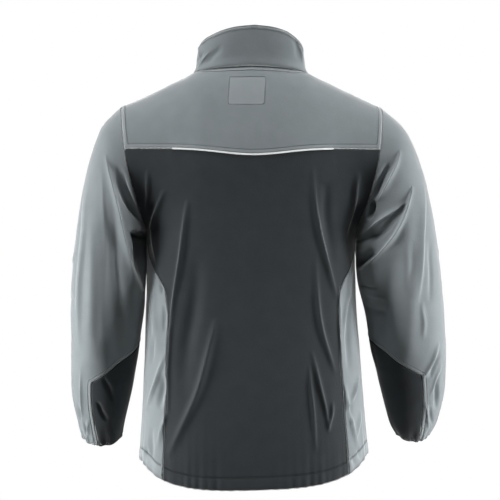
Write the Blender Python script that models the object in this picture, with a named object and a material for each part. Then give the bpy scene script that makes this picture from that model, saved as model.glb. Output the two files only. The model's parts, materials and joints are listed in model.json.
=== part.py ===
"""Fleece jacket with a black back, filled out and hollow as if worn.

Frame: metres, +Z up, front towards -Y, the wearer's left towards +X. The origin is the middle
of the neck opening, level with the neck ends of the shoulders. Table sizes are millimetres and
degrees. The cloth is one lofted surface, cut into panels along its seams; every panel is then
thickened inwards into a wall.
"""
import math

import bmesh
import bpy
from mathutils import Vector

MM = 0.001
OBJECT_NAME = "fleece_jacket"

# Cloth and seams
WALL = 2.2
SEAM_GAP = 0.3

# How finely the cloth is divided: cells across or along each part of the cut
BACK_COLUMNS = 16
SIDE_COLUMNS = 2
FRONT_COLUMNS = 13
SHOULDER_COLUMNS = 8
LOWER_ROWS = 17
BELOW_YOKE_ROWS = 5
YOKE_ROWS = 8
UPPER_SLEEVE_ROWS = 14
FOREARM_ROWS = 7
FOREARM_COLUMNS = 8
COLLAR_ROWS = 4

# Body
BODY_SQUARENESS = 2.4
HEM_Z = -706.0
TAIL_DROP = 47.0
TAIL_ANGLE = 76.0
TAIL_FLATNESS = 2.6
TAIL_CORNER = 1.3
TAIL_FADE = 1.5
HEM_TILT = 0.026
FRONT_EDGE = 6.0
BLADE_FULLNESS = 11.0
CHEST_FULLNESS = 6.0

# Armhole
ARMHOLE_CORNER = 10.0
SHOULDER_TURN = 197.0
ARMHOLE_PULL = 2.0

# Neck and collar
NECK_HALF_WIDTH = 100.5
NECK_BACK = 56.0
NECK_FRONT = 92.0
COLLAR_TOP_HALF_WIDTH = 96.0
COLLAR_TOP_BACK = 64.0
COLLAR_TOP_FRONT = 86.0
COLLAR_FULLNESS = 2.0
COLLAR_SWAY = -4.0

# Turn of the cloth, in degrees, from upright at the underarm to the neck or the shoulder seam
BACK_NECK_TURN = 60.0
BACK_SHOULDER_TURN = 102.0
FRONT_NECK_TURN = 48.0
FRONT_SHOULDER_TURN = 78.0
NECK_SWEEP = 0.5
NECK_SPREAD = 0.8

# Yoke seam and its piping
YOKE_Z = -144.0
YOKE_DIP = 13.0
YOKE_DIP_HALF_WIDTH = 150.0
YOKE_SEARCH_LOW = 0.02
YOKE_SEARCH_HIGH = 0.8
YOKE_SEARCH_STEPS = 40
PIPING_END_X = 145.0
PIPING_RADIUS = 1.3
PIPING_FACETS = 8

# Cuff binding
BINDING_WALL = 1.4
BINDING_SHOWN = 3.0
BINDING_START = 0.55

# Zip
TAPE_HALF_WIDTH = 12.0
TAPE_THICKNESS = 1.0
TAPE_BODY_EASE = 0.4
TAPE_COLLAR_EASE = 1.2
CHAIN_HALF_WIDTH = 2.6
CHAIN_THICKNESS = 1.7
CHAIN_LAST_CELL = 4.0
ROUND_FACETS = 24
SLIDER_WIDTH = 9.0
SLIDER_HEIGHT = 13.0
SLIDER_THICKNESS = 4.6
SLIDER_BELOW_TOP = 13.0
SLIDER_STANDOFF = 1.0
SLIDER_EDGE = 0.8
LUG_WIDTH = 1.6
LUG_OUT = 6.4
LUG_BURIED = 2.0
LUG_HEIGHT = 5.0
PIN_RADIUS = 0.8
TAB_WIDTH = 4.4
TAB_LENGTH = 26.0
TAB_THICKNESS = 1.8
TAB_EYE_RADIUS = 1.3
TAB_CROWN = 2.6


class SizeTable:
    """Rows of sizes; a column is read smoothly anywhere along the first column."""

    def __init__(self, columns, rows):
        ordered = sorted(rows)
        self.places = [row[0] for row in ordered]
        self.columns = {name: [row[n] for row in ordered] for n, name in enumerate(columns)}

    def slope(self, values, n):
        low = max(n - 1, 0)
        high = min(n + 1, len(values) - 1)
        return (values[high] - values[low]) / (self.places[high] - self.places[low])

    def at(self, name, place):
        values = self.columns[name]
        place = min(max(place, self.places[0]), self.places[-1])
        n = 0
        while n < len(self.places) - 2 and place > self.places[n + 1]:
            n += 1
        span = self.places[n + 1] - self.places[n]
        t = (place - self.places[n]) / span
        start = values[n] * (1 + 2 * t) * (1 - t) ** 2 + self.slope(values, n) * span * t * (1 - t) ** 2
        end = values[n + 1] * t * t * (3 - 2 * t) + self.slope(values, n + 1) * span * t * t * (t - 1)
        return start + end


# Body sections from the hem up: half width, depth behind and before the middle, sideways sway
BODY = SizeTable(("z", "half_width", "back", "front", "sway"), (
    (-760.0, 211.0, 128.0, 126.0, -5.6),
    (-706.0, 210.5, 128.0, 128.0, -5.4),
    (-620.0, 205.0, 123.0, 131.0, -4.0),
    (-500.0, 198.0, 113.0, 135.0, -2.0),
    (-400.0, 193.6, 112.0, 143.0, -0.5),
    (-289.0, 192.0, 120.0, 150.0, 0.0),
))

# Where the back panel ends, as an angle round the body from the middle of the back
BACK_SEAM = SizeTable(("z", "angle"), (
    (-760.0, 49.0),
    (-620.0, 49.0),
    (-500.0, 49.0),
    (-410.0, 49.5),
    (-385.0, 52.0),
    (-359.0, 58.5),
    (-324.0, 71.5),
    (-289.0, 85.5),
))

# Height of the neck seam round the neck, from the middle of the back
NECK_SEAM = SizeTable(("angle", "z"), (
    (0.0, 7.0),
    (60.0, 3.0),
    (90.0, -4.0),
    (108.0, -12.0),
    (150.0, -40.0),
    (180.0, -49.0),
))

# Height of the collar's top edge round the neck
COLLAR_TOP = SizeTable(("angle", "z"), (
    (0.0, 82.0),
    (24.0, 78.0),
    (55.0, 66.5),
    (90.0, 55.0),
    (130.0, 40.0),
    (180.0, 29.0),
))

# Left sleeve from the armhole down: its inner and outer edges, depth behind and before its middle,
# where that middle lies, the forward lean of the section, and how far out the right sleeve lies more
SLEEVE = SizeTable(
    ("step", "inner_x", "inner_z", "outer_x", "outer_z", "back", "front", "middle_y", "lean", "bow",
     "right_inner", "right_outer"), (
        (0, 192.5, -291.0, 239.0, -63.0, 82.0, 76.0, 0.0, 0.0, 9.0, 0.0, 1.0),
        (1, 194.5, -303.0, 269.0, -93.0, 83.0, 82.0, 3.0, 0.0, 6.0, 0.0, 6.0),
        (2, 194.6, -313.0, 284.0, -122.5, 82.0, 84.0, 7.0, 0.0, 3.0, 0.0, 11.0),
        (3, 194.2, -327.0, 299.0, -167.0, 80.0, 84.0, 11.0, 0.0, 1.0, 0.0, 13.0),
        (4, 194.0, -343.0, 308.0, -211.0, 78.0, 82.0, 14.0, 0.0, 0.0, 0.0, 16.0),
        (5, 194.0, -362.0, 318.5, -270.5, 76.0, 80.0, 15.0, 0.0, 0.0, 0.5, 18.0),
        (6, 195.4, -394.0, 328.0, -359.3, 74.0, 76.0, 12.0, 0.0, 0.0, 4.0, 21.0),
        (7, 198.5, -440.0, 331.8, -437.0, 72.0, 70.0, -3.0, 5.0, 0.0, 12.5, 26.0),
        (8, 207.5, -512.0, 332.5, -512.2, 66.0, 62.0, -20.0, 15.0, 0.0, 17.0, 32.0),
        (9, 220.5, -585.0, 333.5, -585.4, 58.0, 54.0, -48.0, 22.0, 0.0, 25.0, 33.0),
        (10, 233.5, -641.0, 325.0, -641.0, 49.0, 46.0, -76.0, 27.0, 0.0, 28.0, 33.5),
        (11, 241.0, -676.0, 318.0, -675.0, 41.0, 38.0, -94.0, 29.0, 0.0, 33.0, 33.0),
    ))
CUFF_STEP = 11.0
SLEEVE_SETTLE_STEP = 4.0
SLEEVE_SEAM_ANGLE = -14.0

# Forearm panels: steps where the top seam starts and turns, and the outer edge's angles there and at the cuff
FOREARM_PANEL = {
    1: {"inner_step": 7.72, "outer_step": 8.50, "turn_angle": 108.0, "cuff_angle": 98.0},
    -1: {"inner_step": 7.64, "outer_step": 8.36, "turn_angle": 103.0, "cuff_angle": 103.0},
}
PANEL_ARCH = 0.10

# The largest folds as seen from behind or from the front: ends, half width, height and sideways bow
FOLD_COLUMNS = ("piece", "facing", "x0", "z0", "x1", "z1", "half_width", "height", "bow")
FOLDS = (
    ("sleeve_left", "back", 268, -140, 216, -385, 17, 6.0, -8),
    ("sleeve_left", "back", 240, -165, 204, -265, 16, -5.0, -6),
    ("sleeve_left", "back", 277, -165, 264, -420, 20, 3.0, 4),
    ("sleeve_left", "front", 270, -170, 215, -400, 20, 5.0, 0),
    ("sleeve_right", "back", -277, -140, -240, -228, 15, 5.5, 4),
    ("sleeve_right", "back", -287, -236, -206, -308, 16, 5.0, 5),
    ("sleeve_right", "back", -298, -190, -214, -362, 18, 5.5, 14),
    ("sleeve_right", "front", -280, -160, -222, -410, 20, 5.0, 0),
    ("body", "back", 116, -235, 128, -375, 17, 4.0, 2),
    ("body", "back", 158, -215, 176, -330, 16, 3.5, -5),
    ("body", "back", 62, -455, 138, -700, 20, 4.0, -8),
    ("body", "back", -110, -180, -152, -385, 18, 4.0, -6),
    ("body", "back", -122, -380, -155, -555, 18, 3.5, 4),
    ("body", "back", -112, -530, -140, -690, 18, 3.0, 4),
    ("body", "front", 120, -230, 60, -400, 24, 4.0, 0),
    ("body", "front", -115, -240, -70, -430, 24, 4.0, 0),
    ("body", "front", 150, -480, 90, -620, 24, 3.5, 0),
    ("body", "front", -150, -500, -95, -650, 24, 3.5, 0),
)
FOLD_FACING = 0.15
FOLD_FACING_FADE = 0.3
FOLD_NARROWNESS = 2.0
FOLD_END_SHAPE = 0.8

# Colours (sRGB), roughness and metallic of each material
GREY_FLEECE = ("grey_fleece", (0x7C, 0x84, 0x87), 0.95, 0.0)
BLACK_FLEECE = ("black_fleece", (0x2B, 0x2F, 0x32), 0.95, 0.0)
PALE_PIPING = ("pale_piping", (0xE6, 0xE8, 0xE8), 0.5, 0.0)
BLACK_ELASTIC = ("black_elastic", (0x1E, 0x20, 0x22), 0.9, 0.0)
BLACK_TAPE = ("black_tape", (0x22, 0x24, 0x26), 0.9, 0.0)
BLACK_PLASTIC = ("black_plastic", (0x18, 0x1A, 0x1C), 0.5, 0.0)
DARK_METAL = ("dark_metal", (0x55, 0x58, 0x5A), 0.35, 1.0)

PANEL_FINISH = {
    "back_panel": BLACK_FLEECE,
    "back_yoke": GREY_FLEECE,
    "front_left": GREY_FLEECE,
    "front_right": GREY_FLEECE,
    "sleeve_left": GREY_FLEECE,
    "sleeve_right": GREY_FLEECE,
    "forearm_panel_left": BLACK_FLEECE,
    "forearm_panel_right": BLACK_FLEECE,
    "collar": GREY_FLEECE,
}
PANELS = list(PANEL_FINISH)
SIDES = {1: "left", -1: "right"}
DOME_ROWS = BELOW_YOKE_ROWS + YOKE_ROWS
SLEEVE_COLUMNS = 2 * DOME_ROWS + SIDE_COLUMNS


def mix(a, b, t):
    return a + (b - a) * t


def ease(t):
    t = min(max(t, 0.0), 1.0)
    return t * t * (3 - 2 * t)


def rounded(value, squareness):
    return abs(value) ** (2 / squareness)


def armhole_point(side, angle):
    return sleeve_point(side, 0.0, angle)


def sleeve_point(side, step, angle):
    """Point on the sleeve: 0 degrees at its inner edge, 90 behind, 180 at its outer edge."""
    size = {name: SLEEVE.at(name, step) for name in SLEEVE.columns}
    if side < 0:
        size["inner_x"] += size["right_inner"]
        size["outer_x"] += size["right_outer"]
    turn = math.radians(angle)
    out = (1 - math.cos(turn)) / 2
    depth = (size["back"] if math.sin(turn) > 0 else size["front"]) * math.sin(turn)
    lean = math.radians(size["lean"])
    x = mix(size["inner_x"], size["outer_x"], out) + size["bow"] * math.sin(turn) ** 2
    y = size["middle_y"] + depth * math.cos(lean)
    z = mix(size["inner_z"], size["outer_z"], out) - depth * math.sin(lean)
    return Vector((side * x, y, z))


UNDERARM_Z = armhole_point(1, ARMHOLE_CORNER).z


def body_point(side, z, angle):
    """Point on the body below the underarm: 0 degrees at the middle of the back."""
    turn = math.radians(angle)
    depth = BODY.at("back", z) if angle < 90 else -BODY.at("front", z)
    x = side * BODY.at("half_width", z) * rounded(math.sin(turn), BODY_SQUARENESS)
    y = depth * rounded(math.cos(turn), BODY_SQUARENESS)
    return Vector((x + BODY.at("sway", z), y, z))


def front_edge_angle(z):
    part = FRONT_EDGE / BODY.at("half_width", z)
    return 180.0 - math.degrees(math.asin(part ** (BODY_SQUARENESS / 2)))


def column_angles(z):
    """Angles of all columns of one half, from the middle of the back to the zip."""
    seam = BACK_SEAM.at("angle", z)
    top = BACK_SEAM.columns["angle"][-1]
    low = BACK_SEAM.columns["angle"][0]
    lowered = (top - seam) / (top - low)
    last = front_edge_angle(z)
    rest = SIDE_COLUMNS + FRONT_COLUMNS
    angles = [seam * n / BACK_COLUMNS for n in range(BACK_COLUMNS)]
    for n in range(rest + 1):
        if n <= SIDE_COLUMNS:
            upper = mix(top, 180.0 - top, n / SIDE_COLUMNS)
        else:
            upper = mix(180.0 - top, last, (n - SIDE_COLUMNS) / FRONT_COLUMNS)
        angles.append(mix(upper, mix(seam, last, n / rest), lowered))
    return angles


def tail(angle):
    if angle >= TAIL_ANGLE:
        return 0.0
    return TAIL_DROP * (1 - (angle / TAIL_ANGLE) ** TAIL_FLATNESS) ** TAIL_CORNER


def body_row(side, row):
    """One level of the body from the hem (row 0) to the underarm."""
    up = row / LOWER_ROWS
    z = mix(HEM_Z, UNDERARM_Z, up)
    points = []
    for n, angle in enumerate(column_angles(z)):
        past_corner = n - BACK_COLUMNS
        if row == LOWER_ROWS and 0 <= past_corner <= SIDE_COLUMNS:
            along = mix(ARMHOLE_CORNER, -ARMHOLE_CORNER, past_corner / SIDE_COLUMNS)
            points.append(armhole_point(side, along))
        else:
            across = body_point(side, z, angle).x
            drop = tail(angle) + HEM_TILT * across
            points.append(body_point(side, z - drop * (1 - up) ** TAIL_FADE, angle))
    return points


def neck_point(side, angle):
    turn = math.radians(angle)
    depth = NECK_BACK if angle < 90 else NECK_FRONT
    x = side * NECK_HALF_WIDTH * math.sin(turn)
    return Vector((x, depth * math.cos(turn), NECK_SEAM.at("z", angle)))


NECK_LAST_ANGLE = 180.0 - math.degrees(math.asin(FRONT_EDGE / NECK_HALF_WIDTH))
NECK_TURN_ANGLE = math.degrees(math.acos(armhole_point(1, SHOULDER_TURN).y / NECK_FRONT))


class Dome:
    """Upper back or upper front of one half, from the underarm to the neck and shoulder seams."""

    def __init__(self, side, facing):
        row = body_row(side, LOWER_ROWS)
        self.side = side
        if facing == "back":
            self.starts = row[:BACK_COLUMNS + 1]
            first, neck_arc, shoulder_arc = 0.0, BACK_NECK_TURN, BACK_SHOULDER_TURN
            self.corner, self.fullness = ARMHOLE_CORNER, BLADE_FULLNESS
        else:
            self.starts = row[BACK_COLUMNS + SIDE_COLUMNS:][::-1]
            first, neck_arc, shoulder_arc = NECK_LAST_ANGLE, FRONT_NECK_TURN, FRONT_SHOULDER_TURN
            self.corner, self.fullness = 360.0 - ARMHOLE_CORNER, -CHEST_FULLNESS
        self.count = len(self.starts) - 1
        self.neck = self.count - SHOULDER_COLUMNS
        parts = [(n / self.neck) ** NECK_SPREAD for n in range(self.neck + 1)]
        self.neck_angles = [mix(first, NECK_TURN_ANGLE, part) for part in parts]
        self.ends = [neck_point(side, angle) for angle in self.neck_angles]
        self.arcs = [mix(neck_arc, shoulder_arc, ease(part)) for part in parts]
        tip = armhole_point(side, SHOULDER_TURN)
        for n in range(1, SHOULDER_COLUMNS + 1):
            self.ends.append(self.ends[self.neck].lerp(tip, n / SHOULDER_COLUMNS))
            self.arcs.append(shoulder_arc)

    def plain(self, column, up):
        start, end = self.starts[column], self.ends[column]
        arc = math.radians(self.arcs[column])
        in_turn = (math.cos(arc * up) - math.cos(arc)) / (1 - math.cos(arc))
        up_turn = math.sin(arc * up) / math.sin(arc)
        inward = 1 - (column / self.count) ** 2
        shoulder = max(column - self.neck, 0) / SHOULDER_COLUMNS
        return Vector((
            mix(end.x, start.x, (1 - up) ** mix(NECK_SWEEP, 1.0, shoulder)),
            mix(end.y, start.y, in_turn) + self.fullness * math.sin(math.pi * up) * inward,
            mix(start.z, end.z, up_turn),
        ))

    def point(self, column, up):
        edge = armhole_point(self.side, mix(self.corner, SHOULDER_TURN, up))
        pull = (column / self.count) ** ARMHOLE_PULL
        return self.plain(column, up) + (edge - self.plain(self.count, up)) * pull

    def seam_height(self, column):
        """How far up this column the yoke seam crosses it."""
        low, high = YOKE_SEARCH_LOW, YOKE_SEARCH_HIGH
        for _ in range(YOKE_SEARCH_STEPS):
            middle = (low + high) / 2
            point = self.point(column, middle)
            if point.z < YOKE_Z - YOKE_DIP * (1 - ease(abs(point.x) / YOKE_DIP_HALF_WIDTH)):
                low = middle
            else:
                high = middle
        return low

    def rows(self, with_yoke):
        grid = [[] for _ in range(DOME_ROWS + 1)]
        for column in range(self.count + 1):
            seam = self.seam_height(column) if with_yoke else BELOW_YOKE_ROWS / DOME_ROWS
            for row in range(DOME_ROWS + 1):
                if row <= BELOW_YOKE_ROWS:
                    up = seam * row / BELOW_YOKE_ROWS
                else:
                    up = mix(seam, 1.0, (row - BELOW_YOKE_ROWS) / YOKE_ROWS)
                grid[row].append(self.point(column, up))
        return grid


def sleeve_rows(side, loop):
    """Levels of the sleeve, starting from the armhole loop of the body."""
    rows = [loop]
    corner = [mix(ARMHOLE_CORNER, SHOULDER_TURN, n / DOME_ROWS) for n in range(DOME_ROWS + 1)]
    fore = [mix(360.0 - ARMHOLE_CORNER, SHOULDER_TURN, n / DOME_ROWS) for n in range(DOME_ROWS)]
    armhole_angles = [0.0] + corner + fore[::-1] + [360.0]
    panel = FOREARM_PANEL[side]
    for row in range(1, UPPER_SLEEVE_ROWS + FOREARM_ROWS + 1):
        points = []
        for column in range(SLEEVE_COLUMNS):
            if column <= FOREARM_COLUMNS:
                part = column / FOREARM_COLUMNS
                top = mix(panel["inner_step"], panel["outer_step"], part)
                top -= PANEL_ARCH * math.sin(math.pi * part)
            else:
                part = (column - FOREARM_COLUMNS) / (SLEEVE_COLUMNS - FOREARM_COLUMNS)
                top = mix(panel["outer_step"], panel["inner_step"], part)
            if row <= UPPER_SLEEVE_ROWS:
                step = top * row / UPPER_SLEEVE_ROWS
            else:
                step = mix(top, CUFF_STEP, (row - UPPER_SLEEVE_ROWS) / FOREARM_ROWS)
            down = ease((step - panel["outer_step"]) / (CUFF_STEP - panel["outer_step"]))
            edge = mix(panel["turn_angle"], panel["cuff_angle"], down)
            if column <= FOREARM_COLUMNS:
                settled = mix(SLEEVE_SEAM_ANGLE, edge, part)
            else:
                settled = mix(edge, SLEEVE_SEAM_ANGLE + 360.0, part)
            angle = mix(armhole_angles[column], settled, ease(step / SLEEVE_SETTLE_STEP))
            points.append(sleeve_point(side, step, angle))
        rows.append(points)
    return [points + points[:1] for points in rows]


def collar_rows(angles, side):
    rows = []
    for row in range(COLLAR_ROWS + 1):
        up = row / COLLAR_ROWS
        points = []
        for angle in angles:
            turn = math.radians(angle)
            base = neck_point(side, angle)
            depth = COLLAR_TOP_BACK if angle < 90 else COLLAR_TOP_FRONT
            x = side * COLLAR_TOP_HALF_WIDTH * math.sin(turn)
            if angle == NECK_LAST_ANGLE:
                x = base.x
            x += COLLAR_SWAY * max(math.cos(turn), 0.0)
            top = Vector((x, depth * math.cos(turn), COLLAR_TOP.at("z", angle)))
            point = base.lerp(top, up)
            full = COLLAR_FULLNESS * math.sin(math.pi * up)
            point += Vector((side * math.sin(turn), math.cos(turn), 0.0)) * full
            points.append(point)
        rows.append(points)
    return rows


class Cloth:
    """One joined surface of all the cloth; a layer on its faces says which panel each belongs to."""

    def __init__(self):
        self.bm = bmesh.new()
        self.panel = self.bm.faces.layers.int.new("panel")
        self.lay = self.bm.verts.layers.float_vector.new("lay")
        self.order = self.bm.verts.layers.int.new("order")
        self.found = {}
        self.piece = {}

    def vert(self, point, piece):
        key = tuple(round(value, 3) + 0.0 for value in point)
        if key not in self.found:
            self.found[key] = self.bm.verts.new(point)
            self.found[key][self.order] = len(self.found)
            self.piece[self.found[key]] = piece
        return self.found[key]

    def loft(self, rows, piece, panel_of, flip):
        """Quads between neighbouring rows of points; gives back the rows of vertices."""
        verts = [[self.vert(point, piece) for point in row] for row in rows]
        for n in range(len(rows) - 1):
            for m in range(len(rows[0]) - 1):
                corners = (verts[n][m], verts[n][m + 1], verts[n + 1][m + 1], verts[n + 1][m])
                face = self.bm.faces.new(corners[::-1] if flip else corners)
                face[self.panel] = PANELS.index(panel_of(n, m))
        return verts

    def crease(self):
        """Raise or sink the largest folds along the surface, then keep its final directions."""
        self.bm.normal_update()
        moves = {vert: vert.normal * fold_height(self.piece[vert], vert) for vert in self.bm.verts}
        for vert, move in moves.items():
            vert.co += move
        self.bm.normal_update()
        for vert in self.bm.verts:
            vert[self.lay] = vert.normal


def fold_height(piece, vert):
    total = 0.0
    for row in FOLDS:
        fold = dict(zip(FOLD_COLUMNS, row))
        facing = vert.normal.y if fold["facing"] == "back" else -vert.normal.y
        if fold["piece"] != piece or facing < FOLD_FACING:
            continue
        start = Vector((fold["x0"], fold["z0"]))
        along = Vector((fold["x1"], fold["z1"])) - start
        length = along.length
        along /= length
        offset = Vector((vert.co.x, vert.co.z)) - start
        part = offset.dot(along) / length
        if not 0.0 < part < 1.0:
            continue
        across = offset.x * along.y - offset.y * along.x + fold["bow"] * math.sin(math.pi * part)
        shape = math.exp(-(across / fold["half_width"]) ** 2 * FOLD_NARROWNESS)
        shown = ease((facing - FOLD_FACING) / FOLD_FACING_FADE)
        total += fold["height"] * shape * shown * math.sin(math.pi * part) ** FOLD_END_SHAPE
    return total


def build_cloth():
    cloth = Cloth()
    edges = {"zip": {}, "yoke": {}, "cuff": {}}
    for side, name in SIDES.items():
        flip = side > 0
        lower = [body_row(side, row) for row in range(LOWER_ROWS + 1)]

        def lower_panel(row, column):
            return "back_panel" if column < BACK_COLUMNS else "front_" + name

        def back_panel(row, column):
            return "back_panel" if row < BELOW_YOKE_ROWS else "back_yoke"

        body = cloth.loft(lower, "body", lower_panel, flip)
        back = Dome(side, "back")
        front = Dome(side, "front")
        back_grid = back.rows(True)
        front_grid = front.rows(False)
        back_verts = cloth.loft(back_grid, "body", back_panel, flip)
        front_verts = cloth.loft(front_grid, "body", lambda row, column: "front_" + name, not flip)

        middle = lower[-1][BACK_COLUMNS + 1]
        loop = [middle] + [row[-1] for row in back_grid] + [row[-1] for row in front_grid[-2::-1]]

        def sleeve_panel(row, column):
            lower_back = row >= UPPER_SLEEVE_ROWS and column < FOREARM_COLUMNS
            return ("forearm_panel_" if lower_back else "sleeve_") + name

        sleeve = cloth.loft(sleeve_rows(side, loop), "sleeve_" + name, sleeve_panel, not flip)

        angles = back.neck_angles + front.neck_angles[-2::-1]
        collar = cloth.loft(collar_rows(angles, side), "collar", lambda row, column: "collar", flip)
        edges["zip"][side] = [row[-1] for row in body] + [row[0] for row in front_verts[1:]]
        edges["zip"][side] += [row[-1] for row in collar[1:]]
        edges["yoke"][side] = back_verts[BELOW_YOKE_ROWS]
        edges["cuff"][side] = sleeve[-2:]
    cloth.crease()
    return cloth, edges


def linear(value):
    value /= 255
    return value / 12.92 if value <= 0.04045 else ((value + 0.055) / 1.055) ** 2.4


def material(name, finish):
    kind, colour, roughness, metallic = finish
    made = bpy.data.materials.new(name + "_" + kind)
    made.use_nodes = True
    shader = made.node_tree.nodes["Principled BSDF"]
    rgba = [linear(value) for value in colour] + [1.0]
    shader.inputs["Base Color"].default_value = rgba
    shader.inputs["Roughness"].default_value = roughness
    shader.inputs["Metallic"].default_value = metallic
    made.diffuse_color = rgba
    return made


def add_object(name, bm, finish, collection):
    bmesh.ops.scale(bm, vec=(MM, MM, MM), verts=bm.verts)
    bmesh.ops.recalc_face_normals(bm, faces=bm.faces)
    mesh = bpy.data.meshes.new(name)
    bm.to_mesh(mesh)
    bm.free()
    made = bpy.data.objects.new(name, mesh)
    mesh.materials.append(material(name, finish))
    collection.objects.link(made)
    return made


def draw_back_edges(bm):
    """Take half a seam gap off every open edge, along the surface."""
    moves = {}
    for edge in bm.edges:
        if not edge.is_boundary:
            continue
        face = edge.link_faces[0]
        start, end = edge.verts
        across = face.normal.cross(end.co - start.co).normalized()
        if across.dot(face.calc_center_median() - start.co) < 0:
            across = -across
        for vert in edge.verts:
            moves.setdefault(vert, []).append(across)
    for vert, ways in moves.items():
        total = sum(ways, Vector())
        vert.co += total * (SEAM_GAP / 2) * len(ways) / total.length_squared


def thicken(bm, wall):
    """Close a panel into a wall by extruding it inwards along the directions kept on its points.

    The narrow faces along its edges are split the same way on both panels of a seam, so that
    they lie side by side.
    """
    lay = bm.verts.layers.float_vector["lay"]
    order = bm.verts.layers.int["order"]
    outer = list(bm.faces)
    made = bmesh.ops.extrude_face_region(bm, geom=outer, use_keep_orig=True)
    inner = {item for item in made["geom"] if isinstance(item, bmesh.types.BMVert)}
    for vert in inner:
        vert.co -= vert[lay] * wall
    rims = [face for face in bm.faces if len(inner.intersection(face.verts)) == 2]
    for face in rims:
        outside = min((vert for vert in face.verts if vert not in inner), key=lambda vert: vert[order])
        inside = max((vert for vert in face.verts if vert in inner), key=lambda vert: vert[order])
        bmesh.utils.face_split(face, outside, inside)


def cut_panels(cloth, collection):
    for number, name in enumerate(PANELS):
        bm = cloth.bm.copy()
        layer = bm.faces.layers.int["panel"]
        others = [face for face in bm.faces if face[layer] != number]
        bmesh.ops.delete(bm, geom=others, context="FACES")
        bm.normal_update()
        draw_back_edges(bm)
        thicken(bm, WALL)
        add_object(name, bm, PANEL_FINISH[name], collection)


def add_piping(cloth, edges, collection):
    """A round cord laid on the back just under the yoke seam."""
    left = [vert for vert in edges["yoke"][1] if vert.co.x <= PIPING_END_X]
    right = [vert for vert in edges["yoke"][-1] if vert.co.x >= -PIPING_END_X]
    seam = left[::-1] + right[1:]
    sections = []
    for n, vert in enumerate(seam):
        along = (seam[min(n + 1, len(seam) - 1)].co - seam[max(n - 1, 0)].co).normalized()
        out = vert[cloth.lay]
        down = along.cross(out).normalized()
        middle = vert.co + out * (PIPING_RADIUS + SEAM_GAP)
        turns = [2 * math.pi * m / PIPING_FACETS for m in range(PIPING_FACETS)]
        sections.append([middle + (out * math.cos(t) + down * math.sin(t)) * PIPING_RADIUS for t in turns])
    add_loft("yoke_piping", sections, PALE_PIPING, collection)


def add_bindings(cloth, edges, collection):
    """Elastic bands just inside the sleeve ends, showing a little below them."""
    for side, name in SIDES.items():
        above, end = edges["cuff"][side]
        bm = bmesh.new()
        lay = bm.verts.layers.float_vector.new("lay")
        order = bm.verts.layers.int.new("order")
        rows = []
        for part in (BINDING_START, 1.0, None):
            row = []
            for upper, lower in zip(above[:-1], end[:-1]):
                way = upper[cloth.lay].lerp(lower[cloth.lay], 1.0 if part is None else part).normalized()
                place = upper.co.lerp(lower.co, 1.0 if part is None else part)
                if part is None:
                    place = place + (lower.co - upper.co).normalized() * BINDING_SHOWN
                vert = bm.verts.new(place - way * (WALL + SEAM_GAP))
                vert[lay] = way
                vert[order] = len(bm.verts)
                row.append(vert)
            rows.append(row)
        count = len(rows[0])
        for upper, lower in zip(rows, rows[1:]):
            for n in range(count):
                m = (n + 1) % count
                bm.faces.new((upper[n], upper[m], lower[m], lower[n]))
        thicken(bm, BINDING_WALL)
        add_object("cuff_binding_" + name, bm, BLACK_ELASTIC, collection)


def zip_path(edges):
    """Middle of the zip from the hem to the collar's top edge, with its outward directions."""
    path = [(left.co + right.co) / 2 for left, right in zip(edges["zip"][1], edges["zip"][-1])]
    ways = []
    for n in range(len(path)):
        along = (path[min(n + 1, len(path) - 1)] - path[max(n - 1, 0)]).normalized()
        ways.append(Vector((0.0, -along.z, along.y)).normalized())
    return path, ways


def tape_depths(path):
    """How far the tape's face lies behind the outside of the cloth."""
    depths = []
    for n in range(len(path)):
        extra = mix(TAPE_BODY_EASE, TAPE_COLLAR_EASE, ease((n - LOWER_ROWS) / DOME_ROWS))
        depths.append(WALL + SEAM_GAP + extra)
    return depths


def add_loft(name, sections, finish, collection):
    """A closed solid through sections of as many points each."""
    bm = bmesh.new()
    loops = [[bm.verts.new(point) for point in section] for section in sections]
    count = len(loops[0])
    for low, high in zip(loops, loops[1:]):
        for n in range(count):
            m = (n + 1) % count
            bm.faces.new((low[n], low[m], high[m], high[n]))
    bm.faces.new(loops[0])
    bm.faces.new(loops[-1])
    add_object(name, bm, finish, collection)


def add_strip(name, path, faces, ways, half_width, thickness, finish, collection):
    """A flat band along a path, its outer face at the given places and its thickness inwards."""
    sections = []
    for place, face, way in zip(path, faces, ways):
        across = Vector((half_width, 0.0, 0.0))
        outer = place - way * face
        inner = outer - way * thickness
        sections.append((outer + across, outer - across, inner - across, inner + across))
    add_loft(name, sections, finish, collection)


def box(bm, size, middle):
    made = bmesh.ops.create_cube(bm, size=1.0)["verts"]
    bmesh.ops.scale(bm, vec=size, verts=made)
    bmesh.ops.translate(bm, vec=middle, verts=made)
    return made


def rod(bm, radius, length, middle):
    made = bmesh.ops.create_cone(
        bm, cap_ends=True, segments=ROUND_FACETS, radius1=radius, radius2=radius, depth=length)["verts"]
    turn = Vector((0.0, 0.0, 1.0)).rotation_difference(Vector((1.0, 0.0, 0.0))).to_matrix()
    bmesh.ops.rotate(bm, cent=(0.0, 0.0, 0.0), matrix=turn, verts=made)
    bmesh.ops.translate(bm, vec=middle, verts=made)


def combine(target, other, operation):
    boolean = target.modifiers.new(operation.lower() + "_" + other.name, "BOOLEAN")
    boolean.operation = operation
    boolean.solver = "EXACT"
    boolean.object = other


def cutter(name, bm, collection):
    made = add_object(name, bm, DARK_METAL, collection)
    made.hide_render = True
    made.display_type = "WIRE"
    return made


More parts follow.
